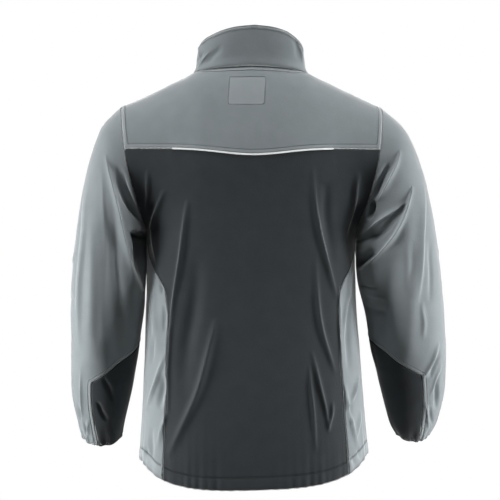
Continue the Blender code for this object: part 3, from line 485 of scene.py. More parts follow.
# %% The folds, one row each
FOLD_COLUMNS = ("on", "seen", "x0", "z0", "x1", "z1", "bow", "half_width", "height", "roundness", "lean",
                "peak")
FOLDS = (
    # Left sleeve: crisp ridges from the shoulder, the fold over the armpit and the pocket below it
    ("sleeve_left", "back", 264, -154, 210, -395, 0, 5.5, 12, 1.2, -0.35, 0.5),
    ("sleeve_left", "back", 236, -174, 200, -266, -4, 5, 7, 1.4, -0.3, 0.55),
    ("sleeve_left", "back", 247, -169, 194, -277, -12, 9, -11, 2, 0, 0.6),
    ("sleeve_left", "back", 225, -292, 187, -285, 0, 5, 6, 1.3, 0.6, 0.6),
    ("sleeve_left", "back", 204, -291, 191, -399, 0, 15, -28, 3, 0, 0.1),
    ("sleeve_left", "back", 273, -174, 266, -416, 5, 7, 2.2, 1.7, -0.2, 0.5),
    ("sleeve_left", "back", 284, -227, 281, -497, 2, 10, -2.5, 2, 0, 0.55),
    ("sleeve_left", "back", 294, -192, 314, -511, -5, 10, 5, 1.6, -0.3, 0.55),
    ("sleeve_left", "back", 248, -275, 237, -434, 2, 9, -3, 2, 0, 0.5),
    ("sleeve_left", "back", 250, -236, 245, -570, 0, 28, -13, 2, 0, 0.6),
    ("sleeve_left", "back", 280, -214, 289, -534, -3, 19, 6, 2, -0.1, 0.55),
    ("sleeve_left", "back", 307, -216, 322, -440, -3, 5, -3, 2, 0, 0.5),
    # Left forearm: a sharp edge on the outside, and creases in the dark panel and the cuff
    ("sleeve_left", "back", 312, -533, 314, -647, 0, 4, 4, 1.3, 0.3, 0.6),
    ("sleeve_left", "back", 321, -601, 318, -649, 0, 4, -4, 2, 0, 0.7),
    ("sleeve_left", "back", 272, -558, 253, -603, 0, 5, -4, 2, 0, 0.5),
    ("sleeve_left", "back", 285, -604, 267, -643, 0, 5, -4, 2, 0, 0.5),
    ("sleeve_left", "back", 301, -640, 306, -681, 0, 4, 3, 1.6, 0, 0.5),
    ("sleeve_left", "back", 309, -647, 308, -677, 0, 3.5, -3, 2, 0, 0.5),
    # Left sleeve in front, which the photograph hides
    ("sleeve_left", "front", 270, -170, 215, -400, 0, 16, 5, 1.8, 0.2, 0.5),
    ("sleeve_left", "front", 300, -300, 230, -450, 6, 9, 3.5, 1.7, 0, 0.5),
    ("sleeve_left", "front", 245, -420, 300, -520, -5, 7, -3, 2, 0, 0.4),
    ("sleeve_left", "front", 235, -395, 292, -440, 4, 6, 4, 1.4, 0, 0.4),
    ("sleeve_left", "front", 240, -428, 302, -472, 3, 7, -3.5, 2, 0, 0.4),
    ("sleeve_left", "front", 222, -300, 262, -372, 3, 5, 4.5, 1.4, 0.3, 0.5),
    ("sleeve_left", "front", 262, -560, 300, -640, 4, 6, 3, 1.6, 0, 0.5),
    ("sleeve_left", "left", 42, -330, -42, -392, 6, 10, 1.9, 1.6, 0.2, 0.45),
    ("sleeve_left", "left", 30, -405, -62, -448, -5, 9, -1.9, 2, 0, 0.55),
    ("sleeve_left", "left", 6, -228, -44, -345, 8, 11, 1.7, 1.7, 0, 0.5),
    ("sleeve_left", "left", -20, -470, -92, -535, 4, 8, 2.2, 1.6, 0, 0.6),
    ("sleeve_left", "left", -42, -556, -100, -642, 3, 7, -1.9, 2, 0, 0.5),
    # Right sleeve: three crisp ridges that run together into the armpit
    ("sleeve_right", "back", -267, -145, -227, -237, 4, 5, 10.5, 1.2, 0.4, 0.5),
    ("sleeve_right", "back", -251, -168, -208, -248, 0, 6.5, -11, 2, 0, 0.6),
    ("sleeve_right", "back", -243, -170, -221, -206, 0, 4, 3, 1.6, 0, 0.5),
    ("sleeve_right", "back", -216, -237, -212, -271, 0, 7, -15, 2.4, 0, 0.4),
    ("sleeve_right", "back", -282, -236, -190, -308, -1, 5, 11, 1.2, -0.5, 0.65),
    ("sleeve_right", "back", -278, -246, -197, -312, 6, 9, -9, 2, 0, 0.55),
    ("sleeve_right", "back", -289, -210, -197, -368, 14, 5, 11.5, 1.2, 0.4, 0.45),
    ("sleeve_right", "back", -222, -324, -191, -357, 0, 8, -14, 2.4, 0, 0.65),
    ("sleeve_right", "back", -312, -204, -298, -422, 3.5, 11, 5.5, 1.6, -0.5, 0.5),
    ("sleeve_right", "back", -323, -304, -324, -421, 0, 6, -3, 2, 0, 0.5),
    ("sleeve_right", "back", -287, -308, -281, -416, 0, 10, -3, 2, 0, 0.5),
    ("sleeve_right", "back", -246, -317, -242, -547, 0, 28, -12, 2, 0, 0.5),
    ("sleeve_right", "back", -279, -235, -288, -525, 0, 20, 6, 2, 0.1, 0.55),
    ("sleeve_right", "back", -308, -420, -314, -489, 0, 7, 3, 1.7, 0, 0.5),
    ("sleeve_right", "back", -207, -404, -238, -420, 0, 4, 3, 1.6, 0, 0.5),
    ("sleeve_right", "back", -200, -391, -226, -397, 0, 5, -4, 2, 0, 0.5),
    ("sleeve_right", "back", -206, -428, -244, -450, 0, 8, -3.5, 2, 0, 0.4),
    # Right forearm: folds above the dark panel's corner, a notch above the cuff, puckers
    ("sleeve_right", "back", -346, -495, -314, -569, 2, 4.5, 4.5, 1.4, -0.3, 0.5),
    ("sleeve_right", "back", -348, -512, -328, -562, 0, 5, -4, 2, 0, 0.5),
    ("sleeve_right", "back", -352, -533, -333, -596, 0, 4, 3, 1.5, 0, 0.5),
    ("sleeve_right", "back", -348, -553, -348, -625, -3, 6, -6, 2, 0, 0.6),
    ("sleeve_right", "back", -324, -606, -338, -666, -1, 4, 3.5, 1.6, 0, 0.5),
    ("sleeve_right", "back", -332, -617, -347, -659, -1, 4, -3, 2, 0, 0.5),
    # Right sleeve in front
    ("sleeve_right", "front", -280, -160, -222, -410, 0, 16, 5, 1.8, -0.2, 0.5),
    ("sleeve_right", "front", -315, -310, -245, -455, -6, 9, 3.5, 1.7, 0, 0.5),
    ("sleeve_right", "front", -260, -425, -320, -530, 5, 7, -3, 2, 0, 0.4),
    ("sleeve_right", "front", -250, -405, -308, -446, -4, 6, 4, 1.4, 0, 0.4),
    ("sleeve_right", "front", -254, -440, -318, -480, -3, 7, -3.5, 2, 0, 0.4),
    ("sleeve_right", "front", -232, -310, -276, -384, -3, 5, 4.5, 1.4, -0.3, 0.5),
    ("sleeve_right", "front", -290, -552, -332, -630, -4, 6, 3, 1.6, 0, 0.5),
    ("sleeve_right", "right", 40, -322, -46, -380, 7, 10, 1.9, 1.6, 0.2, 0.5),
    ("sleeve_right", "right", 26, -398, -66, -436, -4, 9, -1.9, 2, 0, 0.55),
    ("sleeve_right", "right", 0, -220, -40, -330, 6, 11, 1.7, 1.7, 0, 0.5),
    ("sleeve_right", "right", -24, -462, -96, -522, 5, 8, 2.2, 1.6, 0, 0.55),
    ("sleeve_right", "right", -46, -548, -102, -630, 3, 7, -1.9, 2, 0, 0.5),
    # Back: long soft ridges from the shoulder blades down to the side seams
    ("body", "back", 150, -150, -150, -150, 0, 70, 6, 2, 0, 0.5),
    ("body", "back", 116, -237, 150, -496, -1, 6.5, 8.5, 1.5, 0.2, 0.4),
    ("body", "back", 159, -219, 170, -355, -14, 7, 7, 1.6, 0, 0.45),
    ("body", "back", 189, -183, 193, -258, 3, 5, 5.5, 1.6, 0, 0.5),
    ("body", "back", 64, -447, 154, -701, 10, 10, 8.5, 1.6, 0, 0.45),
    ("body", "back", 98, -326, 127, -594, 1, 20, -6, 2, 0, 0.5),
    ("body", "back", 147, -460, 152, -629, -1, 5, 4, 1.6, 0, 0.4),
    ("body", "back", -105, -176, -154, -419, -10, 6.5, 8.5, 1.5, -0.2, 0.55),
    ("body", "back", -191, -187, -166, -308, 1, 7, 7.5, 1.6, 0, 0.45),
    ("body", "back", -111, -333, -148, -549, -11, 7, 7, 1.6, 0, 0.58),
    ("body", "back", -104, -505, -136, -653, 2, 5, 5.5, 1.6, 0, 0.5),
    ("body", "back", -100, -531, -112, -687, 0, 4.5, 5, 1.6, 0, 0.5),
    ("body", "back", -143, -597, -134, -651, 1, 4.5, 4.5, 1.6, 0, 0.5),
    ("body", "back", -154, -390, -157, -533, 2, 4, 4, 1.6, 0, 0.4),
    ("body", "back", -129, -205, -143, -351, -2, 12, -5, 2, 0, 0.45),
    # Sides that show beside the back, down to the small gathers at the hem
    ("body", "back", 156, -511, 194, -622, 0, 4.5, 7.5, 1.3, -0.3, 0.5),
    ("body", "back", 160, -551, 167, -612, 0, 7, -6.8, 2, 0, 0.5),
    ("body", "back", 154, -617, 172, -680, 0, 4, 5.2, 1.5, 0, 0.5),
    ("body", "back", 180, -402, 174, -511, 0, 8, 4.5, 1.8, 0, 0.5),
    ("body", "back", 165, -386, 162, -406, 0, 4, -4.5, 2, 0, 0.5),
    ("body", "back", 159, -424, 158, -478, 0, 4, -4.5, 2, 0, 0.5),
    ("body", "back", 173, -471, 185, -534, 0, 5, -3.8, 2, 0, 0.5),
    ("body", "back", 182, -644, 185, -711, 0, 6, -3.8, 2, 0, 0.5),
    ("body", "back", -182, -353, -163, -480, 0, 5, 6, 1.5, 0.2, 0.4),
    ("body", "back", -176, -409, -174, -547, 0, 7, -6, 2, 0, 0.45),
    ("body", "back", -196, -553, -178, -602, 0, 4, 6, 1.5, 0, 0.5),
    ("body", "back", -165, -567, -190, -680, -3, 4.5, 6.8, 1.4, 0.2, 0.5),
    ("body", "back", -198, -617, -189, -664, 0, 4, 4.5, 1.6, 0, 0.5),
    ("body", "back", -176, -602, -177, -634, 0, 5, -4.5, 2, 0, 0.5),
    ("body", "back", 191, -681, 187, -707, -2, 4, -3, 2, 0, 0.5),
    ("body", "back", -176, -694, -185, -714, 0, 4, -3, 2, 0, 0.5),
    ("body", "back", -188, -683, -196, -705, 1, 4, -3, 2, 0, 0.5),
    # Front, which the photograph hides: a few folds of the same kind
    ("body", "front", 150, -215, 60, -400, 8, 15, 4, 1.8, 0.2, 0.4),
    ("body", "front", -150, -225, -70, -430, -8, 15, 4, 1.8, -0.2, 0.4),
    ("body", "front", 165, -330, 110, -470, 5, 9, 3, 1.7, 0, 0.5),
    ("body", "front", -165, -350, -105, -480, -6, 9, 3, 1.7, 0, 0.5),
    ("body", "front", 150, -500, 90, -640, 4, 12, 3, 1.8, 0, 0.5),
    ("body", "front", -150, -520, -95, -670, -5, 12, 3, 1.8, 0, 0.5),
    ("body", "front", 176, -250, 118, -332, 3, 6, 4.5, 1.4, 0.3, 0.5),
    ("body", "front", -173, -262, -113, -348, -3, 6, 4.5, 1.4, -0.3, 0.5),
    ("body", "front", 122, -560, 42, -718, 6, 9, 2.6, 1.6, 0, 0.5),
    ("body", "front", -132, -416, -60, -560, -8, 9, 2.8, 1.6, 0, 0.5),
    ("body", "front", 148, -392, 64, -452, 5, 14, -3, 2, 0, 0.4),
    ("body", "front", -152, -596, -70, -660, -4, 13, -3, 2, 0, 0.4),
    # Collar: sharp creases at both sides, where it turns round the neck
    ("collar", "back", 77, 36, 98, 9, 0, 2.4, 4, 1.3, 0.2, 0.5),
    ("collar", "back", 87, 37, 101, 18, 0, 4, -2, 2, 0, 0.5),
    ("collar", "back", 54, 49, 84, 15, 2, 8, -3, 2, 0, 0.6),
    ("collar", "back", 95, 49, 94, 18, 0, 2.2, 2.5, 1.4, 0, 0.5),
    ("collar", "back", -84, 59, -95, 19, 0, 2.4, 4, 1.3, -0.2, 0.5),
    ("collar", "back", -77, 62, -86, 23, 1, 7, -2, 2, 0, 0.5),
)
print("folds:", len(FOLDS))

# %% How high the folds make each point stand
SEEN_FROM = {"back": (0, 1, 0), "front": (0, -1, 0), "left": (1, 0, 0), "right": (-1, 0, 0)}
FACING_FADE = 0.25
FOLD_NARROWNESS = 2.0
FOLD_END_SHAPE = 0.8
FOLD_WANDER = 0.18
WANDER_WAVES = 7
WANDER_SHIFT = 1.7


def fold_heights(cloth_name, points, normals):
    """Height of all the folds of one cloth, each as seen along its own direction."""
    total = np.zeros(len(points))
    for number, row in enumerate(FOLDS):
        fold = dict(zip(FOLD_COLUMNS, row))
        if fold["on"] != cloth_name:
            continue
        facing = normals @ np.array(SEEN_FROM[fold["seen"]], dtype=float)
        sideways = 0 if fold["seen"] in ("back", "front") else 1
        place = points[:, (sideways, 2)] - (fold["x0"], fold["z0"])
        run = np.array((fold["x1"] - fold["x0"], fold["z1"] - fold["z0"]), dtype=float)
        length = np.linalg.norm(run)
        part = place @ run / length ** 2
        inside = (part > 0) & (part < 1) & (facing > 0)
        part = np.clip(part, 0, 1)
        across = (place[:, 0] * run[1] - place[:, 1] * run[0]) / length
        wander = FOLD_WANDER * fold["half_width"] * np.sin(WANDER_WAVES * part + WANDER_SHIFT * number)
        across = across - (fold["bow"] + wander) * np.sin(np.pi * part)
        width = fold["half_width"] * np.where(across > 0, 1 + fold["lean"], 1 - fold["lean"])
        shape = np.exp(-FOLD_NARROWNESS * np.abs(across / width) ** fold["roundness"])
        along = part ** (math.log(0.5) / math.log(fold["peak"]))
        shape = shape * np.sin(np.pi * along) ** FOLD_END_SHAPE * ease(facing / FACING_FADE)
        total += np.where(inside, fold["height"] * shape, 0.0)
    return total


print("folds by side:", {seen: sum(row[1] == seen for row in FOLDS) for seen in SEEN_FROM})

# %% Cloth is never quite even
# Each row: wave direction across x, y and z in turns per metre, a shift, and the height in millimetres
UNEVENNESS = (
    (4.0, 2.0, -1.5, 0.3, 0.50),
    (-3.0, 6.0, 5.5, 1.9, 0.40),
    (9.0, -6.0, 4.0, 4.1, 0.22),
    (-7.0, 9.0, -11.0, 2.6, 0.14),
    (17.0, 12.0, 14.0, 5.2, 0.07),
)
WAVE_BEND = 1.8
WAVE_SLOWING = 0.8


def uneven(points):
    """Low waves whose crests are bent by one another, so that none of them runs on as a stripe."""
    total = np.zeros(len(points))
    bend = np.zeros(len(points))
    for x, y, z, shift, height in UNEVENNESS:
        phase = 2 * np.pi * (points @ np.array((x, y, z))) * MM + shift
        total += height * np.sin(phase + bend)
        slow = WAVE_SLOWING * (points @ np.array((y, -z, x))) * 2 * np.pi * MM
        bend = WAVE_BEND * np.sin(slow + 2 * shift)
    return total


print("largest unevenness", round(sum(row[-1] for row in UNEVENNESS), 2), "mm")

# %% [markdown]
# ## Joining and creasing the cloth
# Panels that are creased one by one would no longer meet at their seams. So the grids of the body are
# first merged into one skin wherever their points agree, the folds move that skin along its own
# directions, and only then is it cut into panels.

# %% A skin that is joined, creased and then cut
# Points of two grids that agree to a two-hundredth of a millimetre become one
WELD_STEPS = 200


def grid_quads(ids):
    """The four corners of every cell in a grid of point numbers."""
    corners = (ids[:-1, :-1], ids[:-1, 1:], ids[1:, 1:], ids[1:, :-1])
    return np.stack(corners, axis=-1).reshape(-1, 4)


class Cloth:
    """Grids that share the points along their seams; every cell knows which panel it belongs to."""

    def __init__(self, name):
        self.name = name
        self.laid = []

    def lay(self, name, grid, panels, rise=0.0, calm=1.0):
        """Columns have to run so that columns cross rows gives the outward direction."""
        cells = np.broadcast_to(np.asarray(panels, dtype="U24"), np.array(grid.shape[:2]) - 1)
        extra = np.stack([np.broadcast_to(value, grid.shape[:2]) for value in (rise, calm)], axis=-1)
        self.laid.append((name, grid, cells, extra))

    def join(self):
        stacked = np.concatenate([grid.reshape(-1, 3) for _, grid, _, _ in self.laid])
        extras = np.concatenate([extra.reshape(-1, 2) for _, _, _, extra in self.laid])
        keys = np.round(stacked * WELD_STEPS).astype(np.int64)
        _, first, merged = np.unique(keys, axis=0, return_index=True, return_inverse=True)
        merged = merged.reshape(-1)
        self.points = stacked[first]
        self.rise, self.calm = extras[first].T
        self.ids, quads, panels, count = {}, [], [], 0
        for name, grid, cells, _ in self.laid:
            size = grid.shape[0] * grid.shape[1]
            ids = merged[count:count + size].reshape(grid.shape[:2])
            count += size
            self.ids[name] = ids
            quads.append(grid_quads(ids))
            panels.append(cells.reshape(-1))
        self.quads, self.panels = np.concatenate(quads), np.concatenate(panels)
        self.face()

    def face(self):
        corners = self.points[self.quads]
        out = np.cross(corners[:, 2] - corners[:, 0], corners[:, 3] - corners[:, 1])
        total = np.zeros_like(self.points)
        for n in range(4):
            np.add.at(total, self.quads[:, n], out)
        self.normals = total / np.linalg.norm(total, axis=1, keepdims=True)

    def crease(self, ridge_calm, hollow_calm):
        folds = fold_heights(self.name, self.points, self.normals) + uneven(self.points)
        heights = self.calm * folds * np.where(folds > 0, ridge_calm, hollow_calm) + self.rise
        self.flat, self.points = self.points, self.points + self.normals * heights[:, None]
        self.face()

    def moved_at(self, places):
        """How far creasing moved the cloth nearest to each of some places."""
        tree = KDTree(len(self.flat))
        for n, place in enumerate(self.flat):
            tree.insert(place, n)
        tree.balance()
        return (self.points - self.flat)[[tree.find(place)[1] for place in places]]

    def line(self, grid, rows=slice(None), columns=slice(None)):
        return self.points[self.ids[grid][rows, columns]]


print("points are joined within", 1 / WELD_STEPS, "mm")

# %% Body skin: ring of the lower body, upper back, two upper fronts
HEM_RIPPLE = 0.9
HEM_RIPPLE_FADE = 30.0
RIPPLE_ENDS = 0.2
# Waves round the hem: a quick one that a slow one swells, and a small one
QUICK_WAVES, QUICK_SHIFT = 31, 1.0
SLOW_WAVES, SLOW_SHIFT = 11, 0.4
SMALL_WAVES, SMALL_SHARE = 47, 0.5
ZIP_CALM = (14.0, 25.0)
ARM_CALM = 0.3
# Where the body faces the arm: how far it looks sideways and how low it lies, each with its fade
ARM_FACING = (0.75, 0.2)
ARM_BELOW = (-250.0, 40.0)


def away_from_zip(points):
    """The zip holds the fronts flat, so folds count 0 beside it and 1 everywhere else."""
    aside = ease((np.abs(points[:, 0]) - ZIP_CALM[0]) / ZIP_CALM[1])
    return np.where(points[:, 1] < 0, aside, 1)


lower_ring = both(lower[1], lower[-1])
front_cells = len(FRONT_SHARES) - 1
ring_panels = ["front_left"] * front_cells + ["back_panel"] * (2 * CORNER) + ["front_right"] * front_cells
ring_turns = np.linspace(0, 2 * np.pi, lower_ring.shape[1])
above_hem = LOWER_UPS[:, None] * (UNDERARM_Z - HEM_Z)
at_ends = ease(np.minimum(ring_turns, 2 * np.pi - ring_turns) / RIPPLE_ENDS)
ripple = np.sin(QUICK_WAVES * ring_turns + QUICK_SHIFT) * np.sin(SLOW_WAVES * ring_turns + SLOW_SHIFT)
ripple += SMALL_SHARE * np.sin(SMALL_WAVES * ring_turns)
hem_rise = HEM_RIPPLE * np.exp(-above_hem / HEM_RIPPLE_FADE) * ripple * at_ends
body = Cloth("body")
body.lay("lower", lower_ring, ring_panels, hem_rise)
yoke_rows = np.array(["back_panel"] * BELOW_ROWS + ["back_yoke"] * YOKE_ROWS)[:, None]
body.lay("upper_back", both(back_dome[1], back_dome[-1]), yoke_rows)
body.lay("upper_front_left", front_dome[1], "front_left")
body.lay("upper_front_right", front_dome[-1][:, ::-1], "front_right")
body.join()
under_arm = ease((np.abs(body.normals[:, 0]) - ARM_FACING[0]) / ARM_FACING[1])
under_arm *= ease((ARM_BELOW[0] - body.points[:, 2]) / ARM_BELOW[1])
free = away_from_zip(body.points)
body.crease(free * mix(1.0, ARM_CALM, under_arm), free)
print("body skin:", len(body.points), "points,", len(body.quads), "cells")

# %% Sleeve skins with gathered cuffs
CUFF_GATHER = 1.7
CUFF_GATHER_STEP = 9.4
# The gathers round the cuff drift together and apart, and swell and fade
CUFF_GATHERS = 13
GATHER_DRIFT, DRIFT_WAVES = 2, 3
GATHER_LEAST, GATHER_SWELL, SWELL_WAVES = 0.65, 0.35, 5
# How far the elastic draws the last of the sleeve in
CUFF_DRAW = {1: 1.0, -1: 8.0}
CUFF_DRAW_STEP = 9.6
INNER_CALM = 0.15
INNER_EASE_OUT = 1.5
# Where the sleeve faces the body: how far it looks that way, and its top and bottom, each with its fade
INNER_FACING = (0.55, 0.3)
INNER_TOP = (-255.0, 30.0)
INNER_BOTTOM = (-470.0, 60.0)
HEAD_CALM = 14.0
# Cloth that bunches in front of the armpit and leans on the body: height, angle and spread, z and spread
BUNCHES = {1: (24.0, 320.0, 24.0, -330.0, 70.0), -1: (10.0, 320.0, 24.0, -320.0, 50.0)}
PANEL_CELLS = int(np.argmin(np.abs(SLEEVE_TURNS - PANEL_TURN)))

sleeves = {}
for side, name in SIDES.items():
    step, angle = sleeve_lays[side]
    turns = 2 * np.pi * SLEEVE_TURNS
    gather = np.sin(CUFF_GATHERS * turns + GATHER_DRIFT * np.sin(DRIFT_WAVES * turns))
    gather *= GATHER_LEAST + GATHER_SWELL * np.sin(SWELL_WAVES * turns + side)
    rise = CUFF_GATHER * ease((step - CUFF_GATHER_STEP) / (CUFF_STEP - CUFF_GATHER_STEP)) * gather
    rise -= CUFF_DRAW[side] * np.clip((step - CUFF_DRAW_STEP) / (CUFF_STEP - CUFF_DRAW_STEP), 0, 1) ** 2
    height, at_angle, angle_spread, at_z, z_spread = BUNCHES[side]
    aside = ((angle - at_angle) / angle_spread) ** 2 + ((sleeve[side][..., 2] - at_z) / z_spread) ** 2
    steps = np.linalg.norm(np.diff(sleeve[side], axis=0), axis=2)
    from_head = np.vstack([np.zeros(len(SLEEVE_TURNS)), np.cumsum(steps, axis=0)])
    calm = ease(from_head / HEAD_CALM)
    rise += height * np.exp(-2 * aside) * calm
    hung = sleeve[side] + body.moved_at(sleeve[side][0]) * (1 - calm)[..., None]
    cells = np.full(np.array(hung.shape[:2]) - 1, "sleeve_" + name, dtype="U24")
    cells[UPPER_SLEEVE_ROWS:, :PANEL_CELLS] = "forearm_panel_" + name
    order = slice(None, None, side)
    skin = Cloth("sleeve_" + name)
    skin.lay("sleeve", hung[:, order], cells[:, order], rise[:, order], calm[:, order])
    skin.join()
    beside_body = ease((-side * skin.normals[:, 0] - INNER_FACING[0]) / INNER_FACING[1])
    beside_body *= ease((INNER_TOP[0] - skin.points[:, 2]) / INNER_TOP[1])
    beside_body *= ease((skin.points[:, 2] - INNER_BOTTOM[0]) / INNER_BOTTOM[1])
    skin.crease(mix(1.0, INNER_CALM, beside_body), 1.0)
    skin.points += skin.normals * (INNER_EASE_OUT * beside_body)[:, None]
    sleeves[side] = skin
    print("sleeve", name, "skin:", len(skin.points), "points")

# %% Collar skin, sewn to the creased neck
COLLAR_CALM = 0.2

neck = Cloth("collar")
above_seam = np.r_[0.0, COLLAR_UPS][:, None]
calm = ease(above_seam / COLLAR_CALM)
neck.lay("collar", collar + body.moved_at(collar[1]) * (1 - calm)[..., None], "collar", calm=calm)
neck.join()
free = away_from_zip(neck.points)
neck.crease(free, free)
print("collar skin:", len(neck.points), "points")

# %% [markdown]
# ## Cutting the panels
# A sewn edge is not a line drawn on cloth: the turned-in layers make a low welt beside the seam, the
# topstitching pulls a channel along it, and a lip that laps over the next panel catches the light.
# Every panel keeps two numbers at each point: its distance from its nearest seam, in widths of that
# seam's turning, and its distance from a lapped edge. The first one raises the welts in the mesh
# itself. The material then adds the fine groove and the channel as bump, which a mesh of
# three-millimetre cells could not hold, with painted shade in their colour, and a painted highlight
# on the welt's crest and along the lip.

# %% Seam lines on the creased skins
LEFT_SEAM, RIGHT_SEAM = front_cells, front_cells + 2 * CORNER
BACK_NECK_CELLS = int(CORNER * DOMES["back"][0])
FRONT_NECK_CELLS = int(np.argmin(np.abs(1 - CROWDED[::-1] - DOMES["front"][0])))
NECK_LEFT, NECK_RIGHT = CORNER - BACK_NECK_CELLS, CORNER + BACK_NECK_CELLS
seam_lines = {
    "hem": body.line("lower", 0),
    "back_seam_left": body.line("lower", slice(None), LEFT_SEAM),
    "back_seam_right": body.line("lower", slice(None), RIGHT_SEAM),
    "zip_left": np.vstack([
        body.line("lower", slice(None), 0), body.line("upper_front_left", slice(None), 0)]),
    "zip_right": np.vstack([
        body.line("lower", slice(None), -1), body.line("upper_front_right", slice(None), -1)]),
    "yoke": body.line("upper_back", BELOW_ROWS),
    "neck_back": body.line("upper_back", -1, slice(NECK_LEFT, NECK_RIGHT + 1)),
    "shoulder_left": body.line("upper_back", -1, slice(0, NECK_LEFT + 1)),
    "shoulder_right": body.line("upper_back", -1, slice(NECK_RIGHT, None)),
    "neck_front_left": body.line("upper_front_left", -1, slice(0, FRONT_NECK_CELLS + 1)),
    "neck_front_right": body.line("upper_front_right", -1, slice(-FRONT_NECK_CELLS - 1, None)),
    "armhole_left": np.vstack([
        body.line("upper_back", slice(None, None, -1), 0),
        body.line("lower", -1, slice(LEFT_SEAM - UNDERARM_CELLS, LEFT_SEAM + 1)),
        body.line("upper_front_left", slice(None), -1)]),
    "armhole_right": np.vstack([
        body.line("upper_back", slice(None, None, -1), -1),
        body.line("lower", -1, slice(RIGHT_SEAM, RIGHT_SEAM + UNDERARM_CELLS + 1)),
        body.line("upper_front_right", slice(None), 0)]),
    "collar_base": neck.line("collar", 1),
    "collar_top": neck.line("collar", -1),
    "collar_zip_left": neck.line("collar", slice(1, None), 0),
    "collar_zip_right": neck.line("collar", slice(1, None), -1),
}
for side, name in SIDES.items():
    column = PANEL_CELLS if side > 0 else len(SLEEVE_TURNS) - 1 - PANEL_CELLS
    inner = 0 if side > 0 else -1
    across = slice(0, column + 1) if side > 0 else slice(column, None)
    skin = sleeves[side]
    seam_lines["sleeve_head_" + name] = skin.line("sleeve", 0)
    seam_lines["cuff_" + name] = skin.line("sleeve", -1)
    top_line = skin.line("sleeve", UPPER_SLEEVE_ROWS, across)[::side]
    outer_line = skin.line("sleeve", slice(UPPER_SLEEVE_ROWS, None), column)
    seam_lines["forearm_seam_" + name] = np.vstack([top_line, outer_line])
    seam_lines["forearm_inner_" + name] = skin.line("sleeve", slice(UPPER_SLEEVE_ROWS, None), inner)
print("seam lines:", len(seam_lines))

# %% Panels as thin shells
WALL = 2.0
SEAM_GAP = 0.3
EDGE_SINK = 0.5
SEAM_FAR = 6.0
LIP_FAR = 6.0
# Height of the cloth at some distances from a seam, in widths of its turning
WELT_AT = (0.0, 0.25, 0.75, 1.0, 1.3)
WELT_RISE = (0.0, 0.7, 0.7, -0.3, 0.0)

panels = {}


def dense(line):
    """The same line with a point every millimetre or so."""
    places = np.r_[0, np.cumsum(np.linalg.norm(np.diff(line, axis=0), axis=1))]
    finer = np.arange(0, places[-1], 1.0)
    return np.stack([np.interp(finer, places, line[:, n]) for n in range(3)], axis=1)


def distance_to(line, points):
    finer = dense(line)
    tree = KDTree(len(finer))
    for n, place in enumerate(finer):
        tree.insert(place, n)
    tree.balance()
    return np.array([tree.find(place)[2] for place in points])


def thin_shell(name, points, quads, wall):
    """A smooth sheet that a modifier makes thick, inwards from its face."""
    mesh = bpy.data.meshes.new(name)
    mesh.from_pydata((points * MM).tolist(), [], quads.tolist())
    mesh.polygons.foreach_set("use_smooth", np.ones(len(quads), dtype=bool))
    made = bpy.data.objects.new(name, mesh)
    bpy.context.scene.collection.objects.link(made)
    thickness = made.modifiers.new("wall", "SOLIDIFY")
    thickness.thickness = wall * MM
    thickness.offset = -1
    return made


def cut_panel(cloth, name, turnings, lips=(), rim_width=0.0):
    """Take one panel out of the skin, draw its edges back a little and give it its thickness."""
    used, quads = np.unique(cloth.quads[cloth.panels == name], return_inverse=True)
    quads = quads.reshape(-1, 4)
    points, normals = cloth.points[used].copy(), cloth.normals[used]
    seam = np.full(len(points), SEAM_FAR)
    lip = np.full(len(points), LIP_FAR)
    for line, turning in turnings:
        away = distance_to(seam_lines[line], points)
        seam = np.minimum(seam, np.maximum(away - rim_width, 0) / turning)
        # The distance from a lapped edge places a painted highlight along the lip
        if line in lips:
            lip = np.minimum(lip, away)
    sides = np.sort(np.concatenate([quads[:, (n, (n + 1) % 4)] for n in range(4)]), axis=1)
    edges, uses = np.unique(sides, axis=0, return_counts=True)
    rim = np.zeros(len(points), dtype=bool)
    rim[edges[uses == 1].reshape(-1)] = True
    back = np.zeros_like(points)
    for a, b in ((0, 1), (1, 0)):
        cross = rim[edges[:, a]] & ~rim[edges[:, b]]
        np.add.at(back, edges[cross, a], points[edges[cross, b]] - points[edges[cross, a]])
    length = np.linalg.norm(back, axis=1, keepdims=True)
    back = np.divide(back, length, out=np.zeros_like(back), where=length > 0)
    height = np.interp(seam, WELT_AT, WELT_RISE) - EDGE_SINK * rim
    points += back * SEAM_GAP / 2 + normals * height[:, None]
    made = thin_shell(name + "_cloth", points, quads, WALL)
    for key, values in (("seam", seam), ("lip", lip)):
        made.data.attributes.new(key, "FLOAT", "POINT").data.foreach_set("value", values)
    panels[name] = {"object": made, "points": points, "normals": normals, "quads": quads, "edges": edges}


print("cloth", WALL, "mm thick, seams", SEAM_GAP, "mm open")

# %% Which edges each panel has, and how deep each is turned in
# A band this wide along each edge of the collar is drawn in the painted shade of a seam's groove
COLLAR_RIM = 2.4
PLAIN = 1.2
HEM_TURNING = 24.0
BACK_SEAM_TURNING = 3.5
YOKE_TURNING = 8.5
ARMHOLE_TURNING = 8.0
NECK_TURNING = 9.0
COLLAR_TURNING = 4.5
ZIP_TURNING = 6.0
CUFF_TURNING = 5.0
FOREARM_TURNING = 7.0

